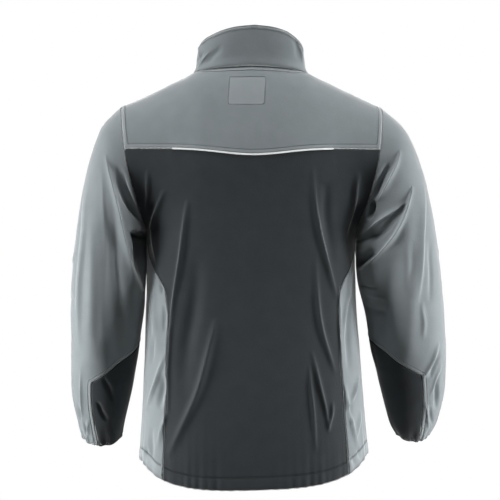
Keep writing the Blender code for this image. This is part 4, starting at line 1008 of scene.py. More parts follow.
cut_panel(body, "back_panel", (
    ("hem", HEM_TURNING), ("back_seam_left", BACK_SEAM_TURNING), ("back_seam_right", BACK_SEAM_TURNING),
    ("yoke", PLAIN), ("armhole_left", PLAIN), ("armhole_right", PLAIN)))
cut_panel(body, "back_yoke", (
    ("yoke", YOKE_TURNING), ("armhole_left", ARMHOLE_TURNING), ("armhole_right", ARMHOLE_TURNING),
    ("neck_back", NECK_TURNING), ("shoulder_left", PLAIN), ("shoulder_right", PLAIN)),
    lips=("yoke", "armhole_left", "armhole_right"))
cut_panel(neck, "collar", (
    ("collar_base", PLAIN), ("collar_top", COLLAR_TURNING), ("collar_zip_left", ZIP_TURNING),
    ("collar_zip_right", ZIP_TURNING)), rim_width=COLLAR_RIM)
for side, name in SIDES.items():
    cut_panel(body, "front_" + name, (
        ("hem", HEM_TURNING), ("zip_" + name, ZIP_TURNING), ("back_seam_" + name, PLAIN),
        ("armhole_" + name, PLAIN), ("shoulder_" + name, PLAIN), ("neck_front_" + name, PLAIN)))
    cut_panel(sleeves[side], "sleeve_" + name, (
        ("sleeve_head_" + name, PLAIN), ("cuff_" + name, CUFF_TURNING),
        ("forearm_seam_" + name, FOREARM_TURNING), ("forearm_inner_" + name, PLAIN)),
        lips=("forearm_seam_" + name,))
    cut_panel(sleeves[side], "forearm_panel_" + name, (
        ("cuff_" + name, CUFF_TURNING), ("forearm_inner_" + name, PLAIN)))
for name, panel in panels.items():
    print(name, "cells:", len(panel["quads"]))

# %% [markdown]
# ## The stitched rectangle
# Below the collar a rectangle is sewn round on the yoke, and only its stitches show, in the shallow
# channel that they pull. It could be modelled as a patch, but nothing stands up from the cloth there.
# The outline is dropped straight onto the yoke, as a sewer chalks it through a stencil.

# %% Rectangle on the yoke
RECTANGLE = ((41.5, -13.0), (-24.0, -13.0), (-21.0, -65.5), (45.0, -65.5))
RECTANGLE_SLOPE = 7.0
RECTANGLE_WELT = 0.6
RECTANGLE_STEPS = np.linspace(0, 1, 40, endpoint=False)
FAR_BEHIND = 400.0
yoke = panels["back_yoke"]
inside = np.full(len(yoke["points"]), np.inf)
outline = []
for corner, following in zip(RECTANGLE, RECTANGLE[1:] + RECTANGLE[:1]):
    run = np.array(following) - corner
    across = np.array((-run[1], run[0])) / np.linalg.norm(run)
    inside = np.minimum(inside, (yoke["points"][:, (0, 2)] - corner) @ across)
    outline += [mix(np.array(corner), np.array(following), t) for t in RECTANGLE_STEPS]
# Through the seam value the rectangle gets a seam's bump, with painted shade in its channel and a faint
# painted highlight on the cloth inside
ring = np.maximum(1 - inside / RECTANGLE_SLOPE, RECTANGLE_WELT)
values = np.zeros(len(ring))
yoke_seam = yoke["object"].data.attributes["seam"].data
yoke_seam.foreach_get("value", values)
yoke_seam.foreach_set("value", np.minimum(values, ring))
surface = BVHTree.FromPolygons(yoke["points"].tolist(), yoke["quads"].tolist())
hits = [surface.ray_cast((x, FAR_BEHIND, z), (0.0, -1.0, 0.0)) for x, z in outline]
rectangle_path = np.array([place for place, _, _, _ in hits])
print("rectangle:", len(rectangle_path), "points, middle", round(float(inside.max()), 1), "mm from its edge")

# %% [markdown]
# ## Fleece
# Mid-weight fleece is a polyester knit whose face is raised and sheared to a short, dense pile. The eye
# gets a matt cloth with almost no gloss, a faint light bloom where it turns away, small uneven patches
# where the pile lies another way, and soft welts along its seams. Hair strands could make the pile, but
# they are lost when the model is exported, so fine noise in the bump and sheen on the shader stand for it.

# %% One function for nodes and one for colours
def linear(colour):
    """sRGB hex to linear red, green and blue, with alpha."""
    values = [int(colour[n:n + 2], 16) / 255 for n in (1, 3, 5)]
    return [v / 12.92 if v <= 0.04045 else ((v + 0.055) / 1.055) ** 2.4 for v in values] + [1.0]


def add_node(tree, kind, settings=None, links=None):
    """A node with its settings, by property or input name; links name an input and what feeds it."""
    made = tree.nodes.new(kind)
    for name, value in (settings or {}).items():
        if isinstance(name, str) and hasattr(made, name):
            setattr(made, name, value)
        else:
            made.inputs[name].default_value = value
    for name, socket in (links or {}).items():
        tree.links.new(socket, made.inputs[name])
    return made


def new_material(name, settings):
    """A material whose shader has the given constant values."""
    made = bpy.data.materials.new(name)
    made.use_nodes = True
    shader = made.node_tree.nodes["Principled BSDF"]
    for key, value in settings.items():
        shader.inputs[key].default_value = value
    return made, made.node_tree, shader


print("grey in linear light:", [round(v, 3) for v in linear("#787F82")[:3]])

# %% Grey and near-black fleece
# Real pile is about 1 mm long and would not show at this size; it is drawn at 3.5 mm.
PILE_MM = 3.5
PILE_HEIGHT = 0.30
MOTTLE_MM = 26.0
SEAM_REACH = 2.5
SEAM_HEIGHT = 2.4
# Painted highlight: how much a welt's crest is lightened, and how wide the lightened band along a lapped lip
# is
WELT_PAINTED_HIGHLIGHT = 0.16
LIP_MM = 2.4
# Height of the cloth across a sewn edge: groove, welt, stitch channel at 1 / SEAM_REACH, plain cloth
SEAM_PROFILE = (
    (0.0, 0.0), (0.05, 0.36), (0.13, 0.62), (0.34, 0.66), (0.40, 0.14), (0.46, 0.50), (0.62, 0.42))
GROOVE_BELOW = 0.4
CREST_FROM, CREST_TO = 0.52, 0.66


# The fourth colour is painted shade for seam grooves and channels, the fifth a painted highlight for welt
# crests and lapped lips
def fleece(name, colour, turned_pile, seam_shade, painted_highlight):
    made, tree, shader = new_material(name, {
        "Roughness": 0.92, "Sheen Weight": 0.75, "Sheen Roughness": 0.35, "Specular IOR Level": 0.25})
    place = add_node(tree, "ShaderNodeTexCoord").outputs["Object"]
    mottle = add_node(tree, "ShaderNodeTexNoise", {"Scale": 1 / (MOTTLE_MM * MM), "Detail": 3.0},
                      {"Vector": place})
    pile = add_node(tree, "ShaderNodeTexNoise",
                    {"Scale": 1 / (PILE_MM * MM), "Detail": 3.0, "Roughness": 0.6}, {"Vector": place})
    seam = add_node(tree, "ShaderNodeAttribute", {"attribute_name": "seam"})
    reach = add_node(tree, "ShaderNodeMapRange", {"From Max": SEAM_REACH}, {"Value": seam.outputs["Fac"]})
    profile = add_node(tree, "ShaderNodeValToRGB", links={"Fac": reach.outputs["Result"]})
    stops = profile.color_ramp.elements
    while len(stops) < len(SEAM_PROFILE):
        stops.new(1.0)
    for stop, (position, height) in zip(stops, SEAM_PROFILE):
        stop.position = position
        stop.color = (height, height, height, 1.0)
    profile.color_ramp.interpolation = "EASE"
    welt = add_node(tree, "ShaderNodeMath", {"operation": "MULTIPLY", 1: SEAM_HEIGHT},
                    {0: profile.outputs["Color"]})
    relief = add_node(tree, "ShaderNodeMath", {"operation": "MULTIPLY_ADD", 1: PILE_HEIGHT},
                      {0: pile.outputs["Fac"], 2: welt.outputs["Value"]})
    bump = add_node(tree, "ShaderNodeBump", {"Distance": MM}, {"Height": relief.outputs["Value"]})
    lie = add_node(tree, "ShaderNodeMix", {"data_type": "RGBA", 6: linear(colour), 7: linear(turned_pile)},
                   {0: mottle.outputs["Fac"]})
    # Painted shade: the groove and the stitch channel are mixed toward the darker seam_shade colour
    groove = add_node(tree, "ShaderNodeMapRange", {"From Max": GROOVE_BELOW, "To Min": 1.0, "To Max": 0.0},
                      {"Value": profile.outputs["Color"]})
    shaded = add_node(tree, "ShaderNodeMix", {"data_type": "RGBA", 7: linear(seam_shade)},
                      {0: groove.outputs["Result"], 6: lie.outputs[2]})
    # Painted highlight: welt crests and the band along a lapped lip are mixed toward a lighter colour
    crest = add_node(tree, "ShaderNodeMapRange",
                     {"From Min": CREST_FROM, "From Max": CREST_TO, "To Max": WELT_PAINTED_HIGHLIGHT},
                     {"Value": profile.outputs["Color"]})
    lip = add_node(tree, "ShaderNodeAttribute", {"attribute_name": "lip"})
    edge = add_node(tree, "ShaderNodeMapRange", {"From Max": LIP_MM, "To Min": 1.0, "To Max": 0.0},
                    {"Value": lip.outputs["Fac"]})
    light = add_node(tree, "ShaderNodeMath", {"operation": "MAXIMUM"},
                     {0: crest.outputs["Result"], 1: edge.outputs["Result"]})
    # This mix paints that highlight into the colour
    wear_and_painted_highlight = add_node(tree, "ShaderNodeMix", {"data_type": "RGBA", 7: linear(painted_highlight)},
                      {0: light.outputs["Value"], 6: shaded.outputs[2]})
    tree.links.new(wear_and_painted_highlight.outputs[2], shader.inputs["Base Color"])
    tree.links.new(bump.outputs["Normal"], shader.inputs["Normal"])
    return made


# In each fleece the fourth colour is painted shade in seam grooves, the fifth a painted highlight on welt
# crests and lips
grey_fleece = fleece("grey_polyester_fleece", "#787F82", "#82898C", "#585E61", "#C2C8CA")
black_fleece = fleece("black_polyester_fleece", "#2A2E31", "#313639", "#121416", "#3B4043")
for name, panel in panels.items():
    dark = name == "back_panel" or name.startswith("forearm")
    panel["object"].data.materials.append(black_fleece if dark else grey_fleece)
print("fleece on", len(panels), "panels")

# %% [markdown]
# ## Piping
# A thin pale cord wrapped in cloth is caught in the middle of the yoke seam. It could be a bevelled
# curve, but its rings are worked out here from the creased seam itself, so that it follows every
# small wave of the cloth.

# %% Piping along the yoke seam
PIPING_END = 145.0
PIPING_RADIUS = 1.5
PIPING_LIFT = 1.4
PIPING_FACETS = 10
PIPING_TAPER = 2
PIPING_END_SHARE = 0.6


def tube(name, rings):
    """A closed tube through rings of points; its ends are closed with one face each."""
    ids = np.arange(rings.shape[0] * rings.shape[1]).reshape(rings.shape[:2])
    quads = grid_quads(np.hstack([ids, ids[:, :1]])).tolist()
    ends = [ids[0, ::-1].tolist(), ids[-1].tolist()]
    mesh = bpy.data.meshes.new(name)
    mesh.from_pydata((rings.reshape(-1, 3) * MM).tolist(), [], quads + ends)
    mesh.polygons.foreach_set("use_smooth", np.ones(len(mesh.polygons), dtype=bool))
    made = bpy.data.objects.new(name, mesh)
    bpy.context.scene.collection.objects.link(made)
    return made


yoke_ids = body.ids["upper_back"][BELOW_ROWS]
yoke_ids = yoke_ids[np.abs(body.points[yoke_ids, 0]) <= PIPING_END]
seam_points, seam_out = body.points[yoke_ids], body.normals[yoke_ids]
along = np.gradient(seam_points, axis=0)
along /= np.linalg.norm(along, axis=1, keepdims=True)
down = np.cross(along, seam_out)
nearest_end = np.minimum(np.arange(len(yoke_ids)), np.arange(len(yoke_ids))[::-1])
radius = PIPING_RADIUS * mix(PIPING_END_SHARE, 1, ease(nearest_end / PIPING_TAPER))
turn = np.linspace(0, 2 * np.pi, PIPING_FACETS, endpoint=False)[:, None]
circle = seam_out[:, None] * np.cos(turn) + down[:, None] * np.sin(turn)
middle = seam_points + seam_out * PIPING_LIFT
piping = tube("piping_cord", middle[:, None] + circle * radius[:, None, None])
print("piping:", len(yoke_ids), "rings")

# %% Woven cover of the piping
# Woven cover of a polyester cord: off-white, satin, with slanting ribs drawn at 2 mm (really 0.5 mm)
CORD_RIB_MM = 2.0
CORD_SLANT = math.radians(35)
# A Wave texture runs through 20 radians in each unit of length
WAVE_RADIANS = 20


def wave_scale(period_mm):
    """Scale that makes the bands of a Wave texture repeat at a length in millimetres."""
    return 2 * math.pi / (WAVE_RADIANS * period_mm * MM)


off_white_cord, tree, shader = new_material("off_white_polyester_cord", {
    "Roughness": 0.55, "Sheen Weight": 0.2})
place = add_node(tree, "ShaderNodeTexCoord").outputs["Object"]
slanted = add_node(tree, "ShaderNodeMapping", {"Rotation": (0.0, CORD_SLANT, 0.0)}, {"Vector": place})
ribs = add_node(tree, "ShaderNodeTexWave", {"bands_direction": "X", "Scale": wave_scale(CORD_RIB_MM)},
                {"Vector": slanted.outputs["Vector"]})
cover = add_node(tree, "ShaderNodeMix", {"data_type": "RGBA", 6: linear("#E6E9E9"), 7: linear("#FAFBFB")},
                 {0: ribs.outputs["Fac"]})
relief = add_node(tree, "ShaderNodeBump", {"Strength": 0.6, "Distance": 0.2 * MM},
                  {"Height": ribs.outputs["Fac"]})
tree.links.new(cover.outputs[2], shader.inputs["Base Color"])
tree.links.new(relief.outputs["Normal"], shader.inputs["Normal"])
piping.data.materials.append(off_white_cord)
print("ribs of the cover: scale", round(wave_scale(CORD_RIB_MM), 1))

# %% [markdown]
# ## Stitches
# Topstitching runs at an even distance from a seam. On each panel that path is where the distance from
# the seam equals the stitch distance, so it is found cell by cell, as a map maker draws a contour.
# A Geometry Nodes tree then walks the path and sets one small rice-shaped stitch at every step. A
# material could draw them too, but stitches with a form of their own catch the light.

# %% Paths at a distance from a seam
THREAD_LIFT = 0.1


def stitch_path(name, line, distance):
    """Points and links of the contour that lies at a distance from one seam of a panel."""
    panel = panels[name]
    points, normals, edges = panel["points"], panel["normals"], panel["edges"]
    away = distance_to(seam_lines[line], points) - distance
    crossed = away[edges[:, 0]] * away[edges[:, 1]] < 0
    a, b = edges[crossed].T
    t = (away[a] / (away[a] - away[b]))[:, None]
    places = mix(points[a], points[b], t) + mix(normals[a], normals[b], t) * THREAD_LIFT
    number = np.full(len(edges), -1)
    number[crossed] = np.arange(len(places))
    keys = edges[:, 0] * len(points) + edges[:, 1]
    sides = np.stack([np.sort(panel["quads"][:, (n, (n + 1) % 4)], axis=1) for n in range(4)], axis=1)
    found = np.sort(number[np.searchsorted(keys, sides[..., 0] * len(points) + sides[..., 1])], axis=1)
    return places, found[(found[:, 1] < 0) & (found[:, 2] >= 0)][:, 2:]


# The forearm seam has two rows of stitches
FOREARM_STITCHES = (2.0, FOREARM_TURNING)
TOPSTITCHING = {
    "grey": [
        ("back_yoke", "yoke", YOKE_TURNING), ("back_yoke", "armhole_left", ARMHOLE_TURNING),
        ("back_yoke", "armhole_right", ARMHOLE_TURNING), ("back_yoke", "neck_back", NECK_TURNING),
        ("collar", "collar_top", COLLAR_TURNING), ("collar", "collar_zip_left", ZIP_TURNING),
        ("collar", "collar_zip_right", ZIP_TURNING)],
    "black": [
        ("back_panel", "hem", HEM_TURNING), ("back_panel", "back_seam_left", BACK_SEAM_TURNING),
        ("back_panel", "back_seam_right", BACK_SEAM_TURNING)],
}
for name in SIDES.values():
    TOPSTITCHING["grey"] += [
        ("front_" + name, "hem", HEM_TURNING), ("front_" + name, "zip_" + name, ZIP_TURNING)]
    TOPSTITCHING["grey"] += [("sleeve_" + name, "forearm_seam_" + name, away) for away in FOREARM_STITCHES]
    TOPSTITCHING["grey"] += [("sleeve_" + name, "cuff_" + name, CUFF_TURNING)]
    TOPSTITCHING["black"] += [("forearm_panel_" + name, "cuff_" + name, CUFF_TURNING)]
round_path = np.arange(len(rectangle_path))
round_links = np.stack([round_path, np.roll(round_path, -1)], axis=1)
stitch_paths = {}
for thread, rows in TOPSTITCHING.items():
    found = [stitch_path(*row) for row in rows]
    if thread == "grey":
        found.append((rectangle_path, round_links))
    starts = np.cumsum([0] + [len(places) for places, _ in found])
    links = np.concatenate([pairs + start for (_, pairs), start in zip(found, starts)])
    stitch_paths[thread] = (np.concatenate([places for places, _ in found]), links)
    print(thread, "thread runs through", len(stitch_paths[thread][0]), "points")

# %% A tree of nodes that sews along a path
STITCH_PITCH = 3.4
STITCH_LENGTH = 2.6
THREAD_THICKNESS = 0.7


def new_tree(name, inputs):
    """An empty Geometry Nodes tree with named inputs; gives the tree, its two ends and its sockets."""
    tree = bpy.data.node_groups.new(name, "GeometryNodeTree")
    tree.interface.new_socket("Path", in_out="INPUT", socket_type="NodeSocketGeometry")
    tree.interface.new_socket("Geometry", in_out="OUTPUT", socket_type="NodeSocketGeometry")
    sockets = {key: tree.interface.new_socket(key, in_out="INPUT", socket_type=kind)
               for key, kind in inputs.items()}
    return tree, tree.nodes.new("NodeGroupInput"), tree.nodes.new("NodeGroupOutput"), sockets


def run_tree(name, places, links, tree, sockets, values):
    """Give a path to a tree and keep what it makes as a plain mesh."""
    mesh = bpy.data.meshes.new(name + "_path")
    mesh.from_pydata((places * MM).tolist(), links.tolist(), [])
    path = bpy.data.objects.new(name + "_path", mesh)
    bpy.context.scene.collection.objects.link(path)
    modifier = path.modifiers.new("nodes", "NODES")
    modifier.node_group = tree
    for key, value in values.items():
        modifier[sockets[key].identifier] = value
    graph = bpy.context.evaluated_depsgraph_get()
    result = bpy.data.meshes.new_from_object(path.evaluated_get(graph), depsgraph=graph)
    path.modifiers.remove(modifier)
    bpy.data.objects.remove(path)
    made = bpy.data.objects.new(name, result)
    bpy.context.scene.collection.objects.link(made)
    return made


sewing, start, end, sewing_sockets = new_tree("topstitching", {
    "Pitch": "NodeSocketFloat", "Stitch": "NodeSocketVector", "Thread": "NodeSocketMaterial"})
curve = add_node(sewing, "GeometryNodeMeshToCurve", links={"Mesh": start.outputs["Path"]})
steps = add_node(sewing, "GeometryNodeResampleCurve", {"mode": "LENGTH"},
                 {"Curve": curve.outputs["Curve"], "Length": start.outputs["Pitch"]})
grain = add_node(sewing, "GeometryNodeMeshIcoSphere", {"Radius": 0.5, "Subdivisions": 1})
tangent = add_node(sewing, "GeometryNodeInputTangent")
turned = add_node(sewing, "FunctionNodeAlignRotationToVector", {"axis": "Z"},
                  {"Vector": tangent.outputs["Tangent"]})
sewn = add_node(sewing, "GeometryNodeInstanceOnPoints", links={
    "Points": steps.outputs["Curve"], "Instance": grain.outputs["Mesh"],
    "Rotation": turned.outputs["Rotation"], "Scale": start.outputs["Stitch"]})
real = add_node(sewing, "GeometryNodeRealizeInstances", links={"Geometry": sewn.outputs["Instances"]})
smooth = add_node(sewing, "GeometryNodeSetShadeSmooth", links={"Geometry": real.outputs["Geometry"]})
threaded = add_node(sewing, "GeometryNodeSetMaterial", links={
    "Geometry": smooth.outputs["Geometry"], "Material": start.outputs["Thread"]})
sewing.links.new(threaded.outputs["Geometry"], end.inputs["Geometry"])
print("tree:", sewing.name, "nodes:", len(sewing.nodes))

# %% Sewing the jacket
# Spun polyester thread: matt with a slight lustre, one shade off the cloth it is sewn on; its twist is
# drawn at 1.5 mm (really 0.5 mm)
THREADS = {"grey": ("#6E7578", "#7D8487"), "black": ("#1B1D1F", "#2A2D30")}
TWIST_MM = 1.5
stitches = {}
for thread, (dark, light) in THREADS.items():
    spun, tree, shader = new_material(thread + "_polyester_thread", {"Roughness": 0.6, "Sheen Weight": 0.1})
    place = add_node(tree, "ShaderNodeTexCoord").outputs["Object"]
    twist = add_node(tree, "ShaderNodeTexNoise", {"Scale": 1 / (TWIST_MM * MM)}, {"Vector": place})
    shade = add_node(tree, "ShaderNodeMix", {"data_type": "RGBA", 6: linear(dark), 7: linear(light)},
                     {0: twist.outputs["Fac"]})
    tree.links.new(shade.outputs[2], shader.inputs["Base Color"])
    stitches[thread] = run_tree("stitches_" + thread, *stitch_paths[thread], sewing, sewing_sockets, {
        "Pitch": STITCH_PITCH * MM, "Thread": spun,
        "Stitch": (THREAD_THICKNESS * MM, THREAD_THICKNESS * MM, STITCH_LENGTH * MM)})
    print(thread, "stitches:", len(stitches[thread].data.polygons), "faces")

# %% [markdown]
# ## Cuffs
# The sleeve ends are bound with a narrow knitted elastic that draws the cloth into small gathers. The
# band lies just inside the gathered edge and shows a few millimetres below it. A plain ring could be
# scaled to fit, but rows of points taken from the edge itself follow every gather.

# %% Knitted elastic
# Knitted elastic: matt black with fine ribs along its length, drawn at 2 mm (really 0.8 mm)
ELASTIC_RIB_MM = 2.0
elastic, tree, shader = new_material("black_knitted_elastic", {"Roughness": 0.9, "Specular IOR Level": 0.2})
place = add_node(tree, "ShaderNodeTexCoord").outputs["Object"]
ribs = add_node(tree, "ShaderNodeTexWave",
                {"bands_direction": "Z", "Scale": wave_scale(ELASTIC_RIB_MM), "Distortion": 1.0},
                {"Vector": place})
knit = add_node(tree, "ShaderNodeMix", {"data_type": "RGBA", 6: linear("#17191B"), 7: linear("#26292B")},
                {0: ribs.outputs["Fac"]})
relief = add_node(tree, "ShaderNodeBump", {"Strength": 0.7, "Distance": 0.3 * MM},
                  {"Height": ribs.outputs["Fac"]})
tree.links.new(knit.outputs[2], shader.inputs["Base Color"])
tree.links.new(relief.outputs["Normal"], shader.inputs["Normal"])
print("finish:", elastic.name)

# %% Bindings inside the cuffs
BINDING_INSET = 2.5
BINDING_WALL = 1.3
BINDING_RIBS = 34
BINDING_RIB_DEPTH = 0.25
# How far below the sleeve's edge each row of the band lies, and how far further in
BINDING_ROWS = ((-9.0, 0.2), (-5.0, 0.1), (-1.0, 0.0), (1.5, -0.2), (3.0, 0.2))

bindings = {}
for side, name in SIDES.items():
    skin = sleeves[side]
    edge = skin.ids["sleeve"][-1, :-1]
    above = skin.ids["sleeve"][-4, :-1]
    fall = skin.points[edge] - skin.points[above]
    fall /= np.linalg.norm(fall, axis=1, keepdims=True)
    rib = np.sin(np.linspace(0, 2 * np.pi * BINDING_RIBS, len(edge), endpoint=False)) * BINDING_RIB_DEPTH
    rows = [skin.points[edge] + fall * drop - skin.normals[edge] * (BINDING_INSET + inset + rib)[:, None]
            for drop, inset in BINDING_ROWS]
    ids = np.arange(len(rows) * len(edge)).reshape(len(rows), -1)
    quads = grid_quads(np.hstack([ids, ids[:, :1]]))
    bindings[name] = thin_shell("elastic_binding_" + name, np.concatenate(rows), quads, BINDING_WALL)
    bindings[name].data.materials.append(elastic)
    around = float(np.linalg.norm(np.diff(rows[2], axis=0), axis=1).sum())
    print("binding", name, "is", round(around), "mm round")

# %% [markdown]
# ## Zip
# The front is closed by a moulded zip. Each tooth is gripped onto the corded edge of a woven tape, left
# and right in turn. The teeth follow one path, so a second small tree sets them. The two tapes are laid
# along the plain strip that stands for them, because a cord edge and a slit need their own profile.
# The slider and the pull tab keep their solids and only get their finish.

# %% Path of the zip, in front of the tape
TAPE_BEHIND = 2.9
CHAIN_LIFT = 1.15
CHAIN_TOP = 9.0
left = np.vstack([body.line("lower", slice(None), 0), body.line("upper_front_left", slice(1, None), 0),
                  neck.line("collar", slice(2, None), 0)])
right = np.vstack([body.line("lower", slice(None), -1), body.line("upper_front_right", slice(1, None), -1),
                   neck.line("collar", slice(2, None), -1)])
zip_path = (left + right) / 2
zip_path = zip_path[zip_path[:, 2] < CHAIN_TOP]
run = np.gradient(zip_path, axis=0)
forward = point(0.0, -run[:, 2], run[:, 1])
forward /= np.linalg.norm(forward, axis=1, keepdims=True)
zip_path = zip_path - forward * (TAPE_BEHIND - CHAIN_LIFT)
zip_links = np.stack([np.arange(len(zip_path) - 1), np.arange(1, len(zip_path))], axis=1)
print("zip:", round(float(np.linalg.norm(np.diff(zip_path, axis=0), axis=1).sum())), "mm")

# %% A tree of nodes that sets teeth, left and right in turn
TOOTH_SIDES = 8
TOOTH_RADIUS = 0.55

teeth_tree, start, end, teeth_sockets = new_tree("zip_teeth", {
    "Pitch": "NodeSocketFloat", "Tooth": "NodeSocketVector", "Aside": "NodeSocketFloat",
    "Plastic": "NodeSocketMaterial"})
curve = add_node(teeth_tree, "GeometryNodeMeshToCurve", links={"Mesh": start.outputs["Path"]})
half_pitch = add_node(teeth_tree, "ShaderNodeMath", {"operation": "MULTIPLY", 1: 0.5},
                      {0: start.outputs["Pitch"]})
steps = add_node(teeth_tree, "GeometryNodeResampleCurve", {"mode": "LENGTH"},
                 {"Curve": curve.outputs["Curve"], "Length": half_pitch.outputs["Value"]})
number = add_node(teeth_tree, "GeometryNodeInputIndex")
odd = add_node(teeth_tree, "ShaderNodeMath", {"operation": "MODULO", 1: 2.0}, {0: number.outputs["Index"]})
sign = add_node(teeth_tree, "ShaderNodeMath", {"operation": "MULTIPLY_ADD", 1: 2.0, 2: -1.0},
                {0: odd.outputs["Value"]})
shift = add_node(teeth_tree, "ShaderNodeMath", {"operation": "MULTIPLY"},
                 {0: sign.outputs["Value"], 1: start.outputs["Aside"]})
offset = add_node(teeth_tree, "ShaderNodeCombineXYZ", links={"X": shift.outputs["Value"]})
moved = add_node(teeth_tree, "GeometryNodeSetPosition", links={
    "Geometry": steps.outputs["Curve"], "Offset": offset.outputs["Vector"]})
block = add_node(teeth_tree, "GeometryNodeMeshCylinder", {
    "Vertices": TOOTH_SIDES, "Radius": TOOTH_RADIUS, "Depth": 1.0})
tangent = add_node(teeth_tree, "GeometryNodeInputTangent")
upright = add_node(teeth_tree, "FunctionNodeAlignRotationToVector", {"axis": "Z", "pivot_axis": "X"},
                   {"Vector": tangent.outputs["Tangent"]})
set_in = add_node(teeth_tree, "GeometryNodeInstanceOnPoints", links={
    "Points": moved.outputs["Geometry"], "Instance": block.outputs["Mesh"],
    "Rotation": upright.outputs["Rotation"], "Scale": start.outputs["Tooth"]})
real = add_node(teeth_tree, "GeometryNodeRealizeInstances", links={"Geometry": set_in.outputs["Instances"]})
moulded = add_node(teeth_tree, "GeometryNodeSetMaterial", links={
    "Geometry": real.outputs["Geometry"], "Material": start.outputs["Plastic"]})
teeth_tree.links.new(moulded.outputs["Geometry"], end.inputs["Geometry"])
print("tree:", teeth_tree.name, "nodes:", len(teeth_tree.nodes))

# %% Moulded teeth
TOOTH_PITCH = 3.0
TOOTH = (3.2, 1.6, 1.7)
TOOTH_ASIDE = 0.9
# Moulded acetal: black, satin, a little uneven from the mould
FLOW_MM = 4.0
acetal, tree, shader = new_material("black_moulded_acetal", {"Base Color": linear("#181A1C"), "IOR": 1.48})
place = add_node(tree, "ShaderNodeTexCoord").outputs["Object"]
flow = add_node(tree, "ShaderNodeTexNoise", {"Scale": 1 / (FLOW_MM * MM), "Detail": 3.0}, {"Vector": place})
satin = add_node(tree, "ShaderNodeMapRange", {"To Min": 0.38, "To Max": 0.55}, {"Value": flow.outputs["Fac"]})
tree.links.new(satin.outputs["Result"], shader.inputs["Roughness"])
teeth = run_tree("zip_teeth", zip_path, zip_links, teeth_tree, teeth_sockets, {
    "Pitch": TOOTH_PITCH * MM, "Aside": TOOTH_ASIDE * MM, "Plastic": acetal,
    "Tooth": tuple(value * MM for value in TOOTH)})
print("teeth:", len(teeth.data.polygons) // (TOOTH_SIDES + 2))

# %% Woven tape
# Woven polyester tape: matt black, a fine herringbone drawn at 1.6 mm (really 0.5 mm)
TAPE_WEAVE_MM = 1.6
woven, tree, shader = new_material("black_woven_tape", {"Roughness": 0.85, "Specular IOR Level": 0.3})
place = add_node(tree, "ShaderNodeTexCoord").outputs["Object"]
weave = add_node(tree, "ShaderNodeTexWave",
                 {"bands_direction": "DIAGONAL", "Scale": wave_scale(TAPE_WEAVE_MM)}, {"Vector": place})
yarn = add_node(tree, "ShaderNodeMix", {"data_type": "RGBA", 6: linear("#1B1D1F"), 7: linear("#2A2D2F")},
                {0: weave.outputs["Fac"]})
relief = add_node(tree, "ShaderNodeBump", {"Strength": 0.6, "Distance": 0.2 * MM},
                  {"Height": weave.outputs["Fac"]})
tree.links.new(yarn.outputs[2], shader.inputs["Base Color"])
tree.links.new(relief.outputs["Normal"], shader.inputs["Normal"])
print("finish:", woven.name)

# %% Two tapes, each with a corded edge by the teeth
TAPE_WALL = 0.7
TAPE_ROWS = 180
# How far aside of the middle each line of the profile runs, and how far it lifts off the tape's face
TAPE_ASIDE = (0.3, 1.2, 1.6, 2.2, 2.8, 3.2, 5.0, 8.5, 11.2, 11.8)
TAPE_LIFT = (0.0, 0.05, 0.6, 0.85, 0.6, 0.05, 0.0, 0.0, 0.0, 0.1)
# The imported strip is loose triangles, so a copy is merged before its four-cornered sections are read
STRIP_WELD = 0.05
strip = bmesh.new()
strip.from_mesh(frame["nodes"]["zip_tape"].data)
bmesh.ops.remove_doubles(strip, verts=strip.verts, dist=STRIP_WELD * MM)
sections = (np.array([corner.co for corner in strip.verts]) / MM).round(2)
strip.free()
sections = sections[np.argsort(sections[:, 2])].reshape(-1, 4, 3)
sections = np.take_along_axis(sections, np.argsort(sections[:, :, 1], axis=1)[:, :, None], axis=1)
face, behind = sections[:, :2].mean(axis=1), sections[:, 2:].mean(axis=1)
travel = np.append(0.0, np.cumsum(np.linalg.norm(np.diff(face, axis=0), axis=1)))
rows = np.linspace(0.0, travel[-1], TAPE_ROWS)
middle, outward = (np.stack([np.interp(rows, travel, line[:, axis]) for axis in range(3)], axis=1)
                   for line in (face, face - behind))
outward /= np.linalg.norm(outward, axis=1, keepdims=True)
lift = outward[:, None] * np.array(TAPE_LIFT)[None, :, None]
ids = np.arange(TAPE_ROWS * len(TAPE_ASIDE)).reshape(TAPE_ROWS, -1)
tape_points, tape_quads = [], []
for number, side in enumerate(SIDES):
    aside = point(side * np.array(TAPE_ASIDE), 0.0, 0.0)
    tape_points.append((middle[:, None] + aside[None] + lift).reshape(-1, 3))
    tape_quads.append((grid_quads(ids) + number * ids.size)[:, ::side])
tapes = thin_shell("zip_tapes", np.concatenate(tape_points), np.concatenate(tape_quads), TAPE_WALL)
tapes.data.materials.append(woven)
print("tapes:", round(float(travel[-1])), "mm long")

# %% Finish of the slider and the pull tab
# Lacquered zinc die casting: dark grey metal under a thin coat, rubbed a little unevenly
RUBBED_MM = 3.0
zinc, tree, shader = new_material("dark_lacquered_zinc", {"Metallic": 1.0, "Coat Weight": 0.3})
place = add_node(tree, "ShaderNodeTexCoord").outputs["Object"]
wear_and_painted_highlight = add_node(tree, "ShaderNodeTexNoise", {"Scale": 1 / (RUBBED_MM * MM), "Detail": 5.0},
                  {"Vector": place})
metal = add_node(tree, "ShaderNodeMix", {"data_type": "RGBA", 6: linear("#4A4D4F"), 7: linear("#67696B")},
                 {0: wear_and_painted_highlight.outputs["Fac"]})
gloss = add_node(tree, "ShaderNodeMapRange", {"To Min": 0.26, "To Max": 0.46},
                 {"Value": wear_and_painted_highlight.outputs["Fac"]})
tree.links.new(metal.outputs[2], shader.inputs["Base Color"])
tree.links.new(gloss.outputs["Result"], shader.inputs["Roughness"])
for node in ("zip_slider", "zip_pull_tab"):
    for part in frame["nodes"][node].material_slots:
        part.material = zinc
print("finished: slider, pull tab")

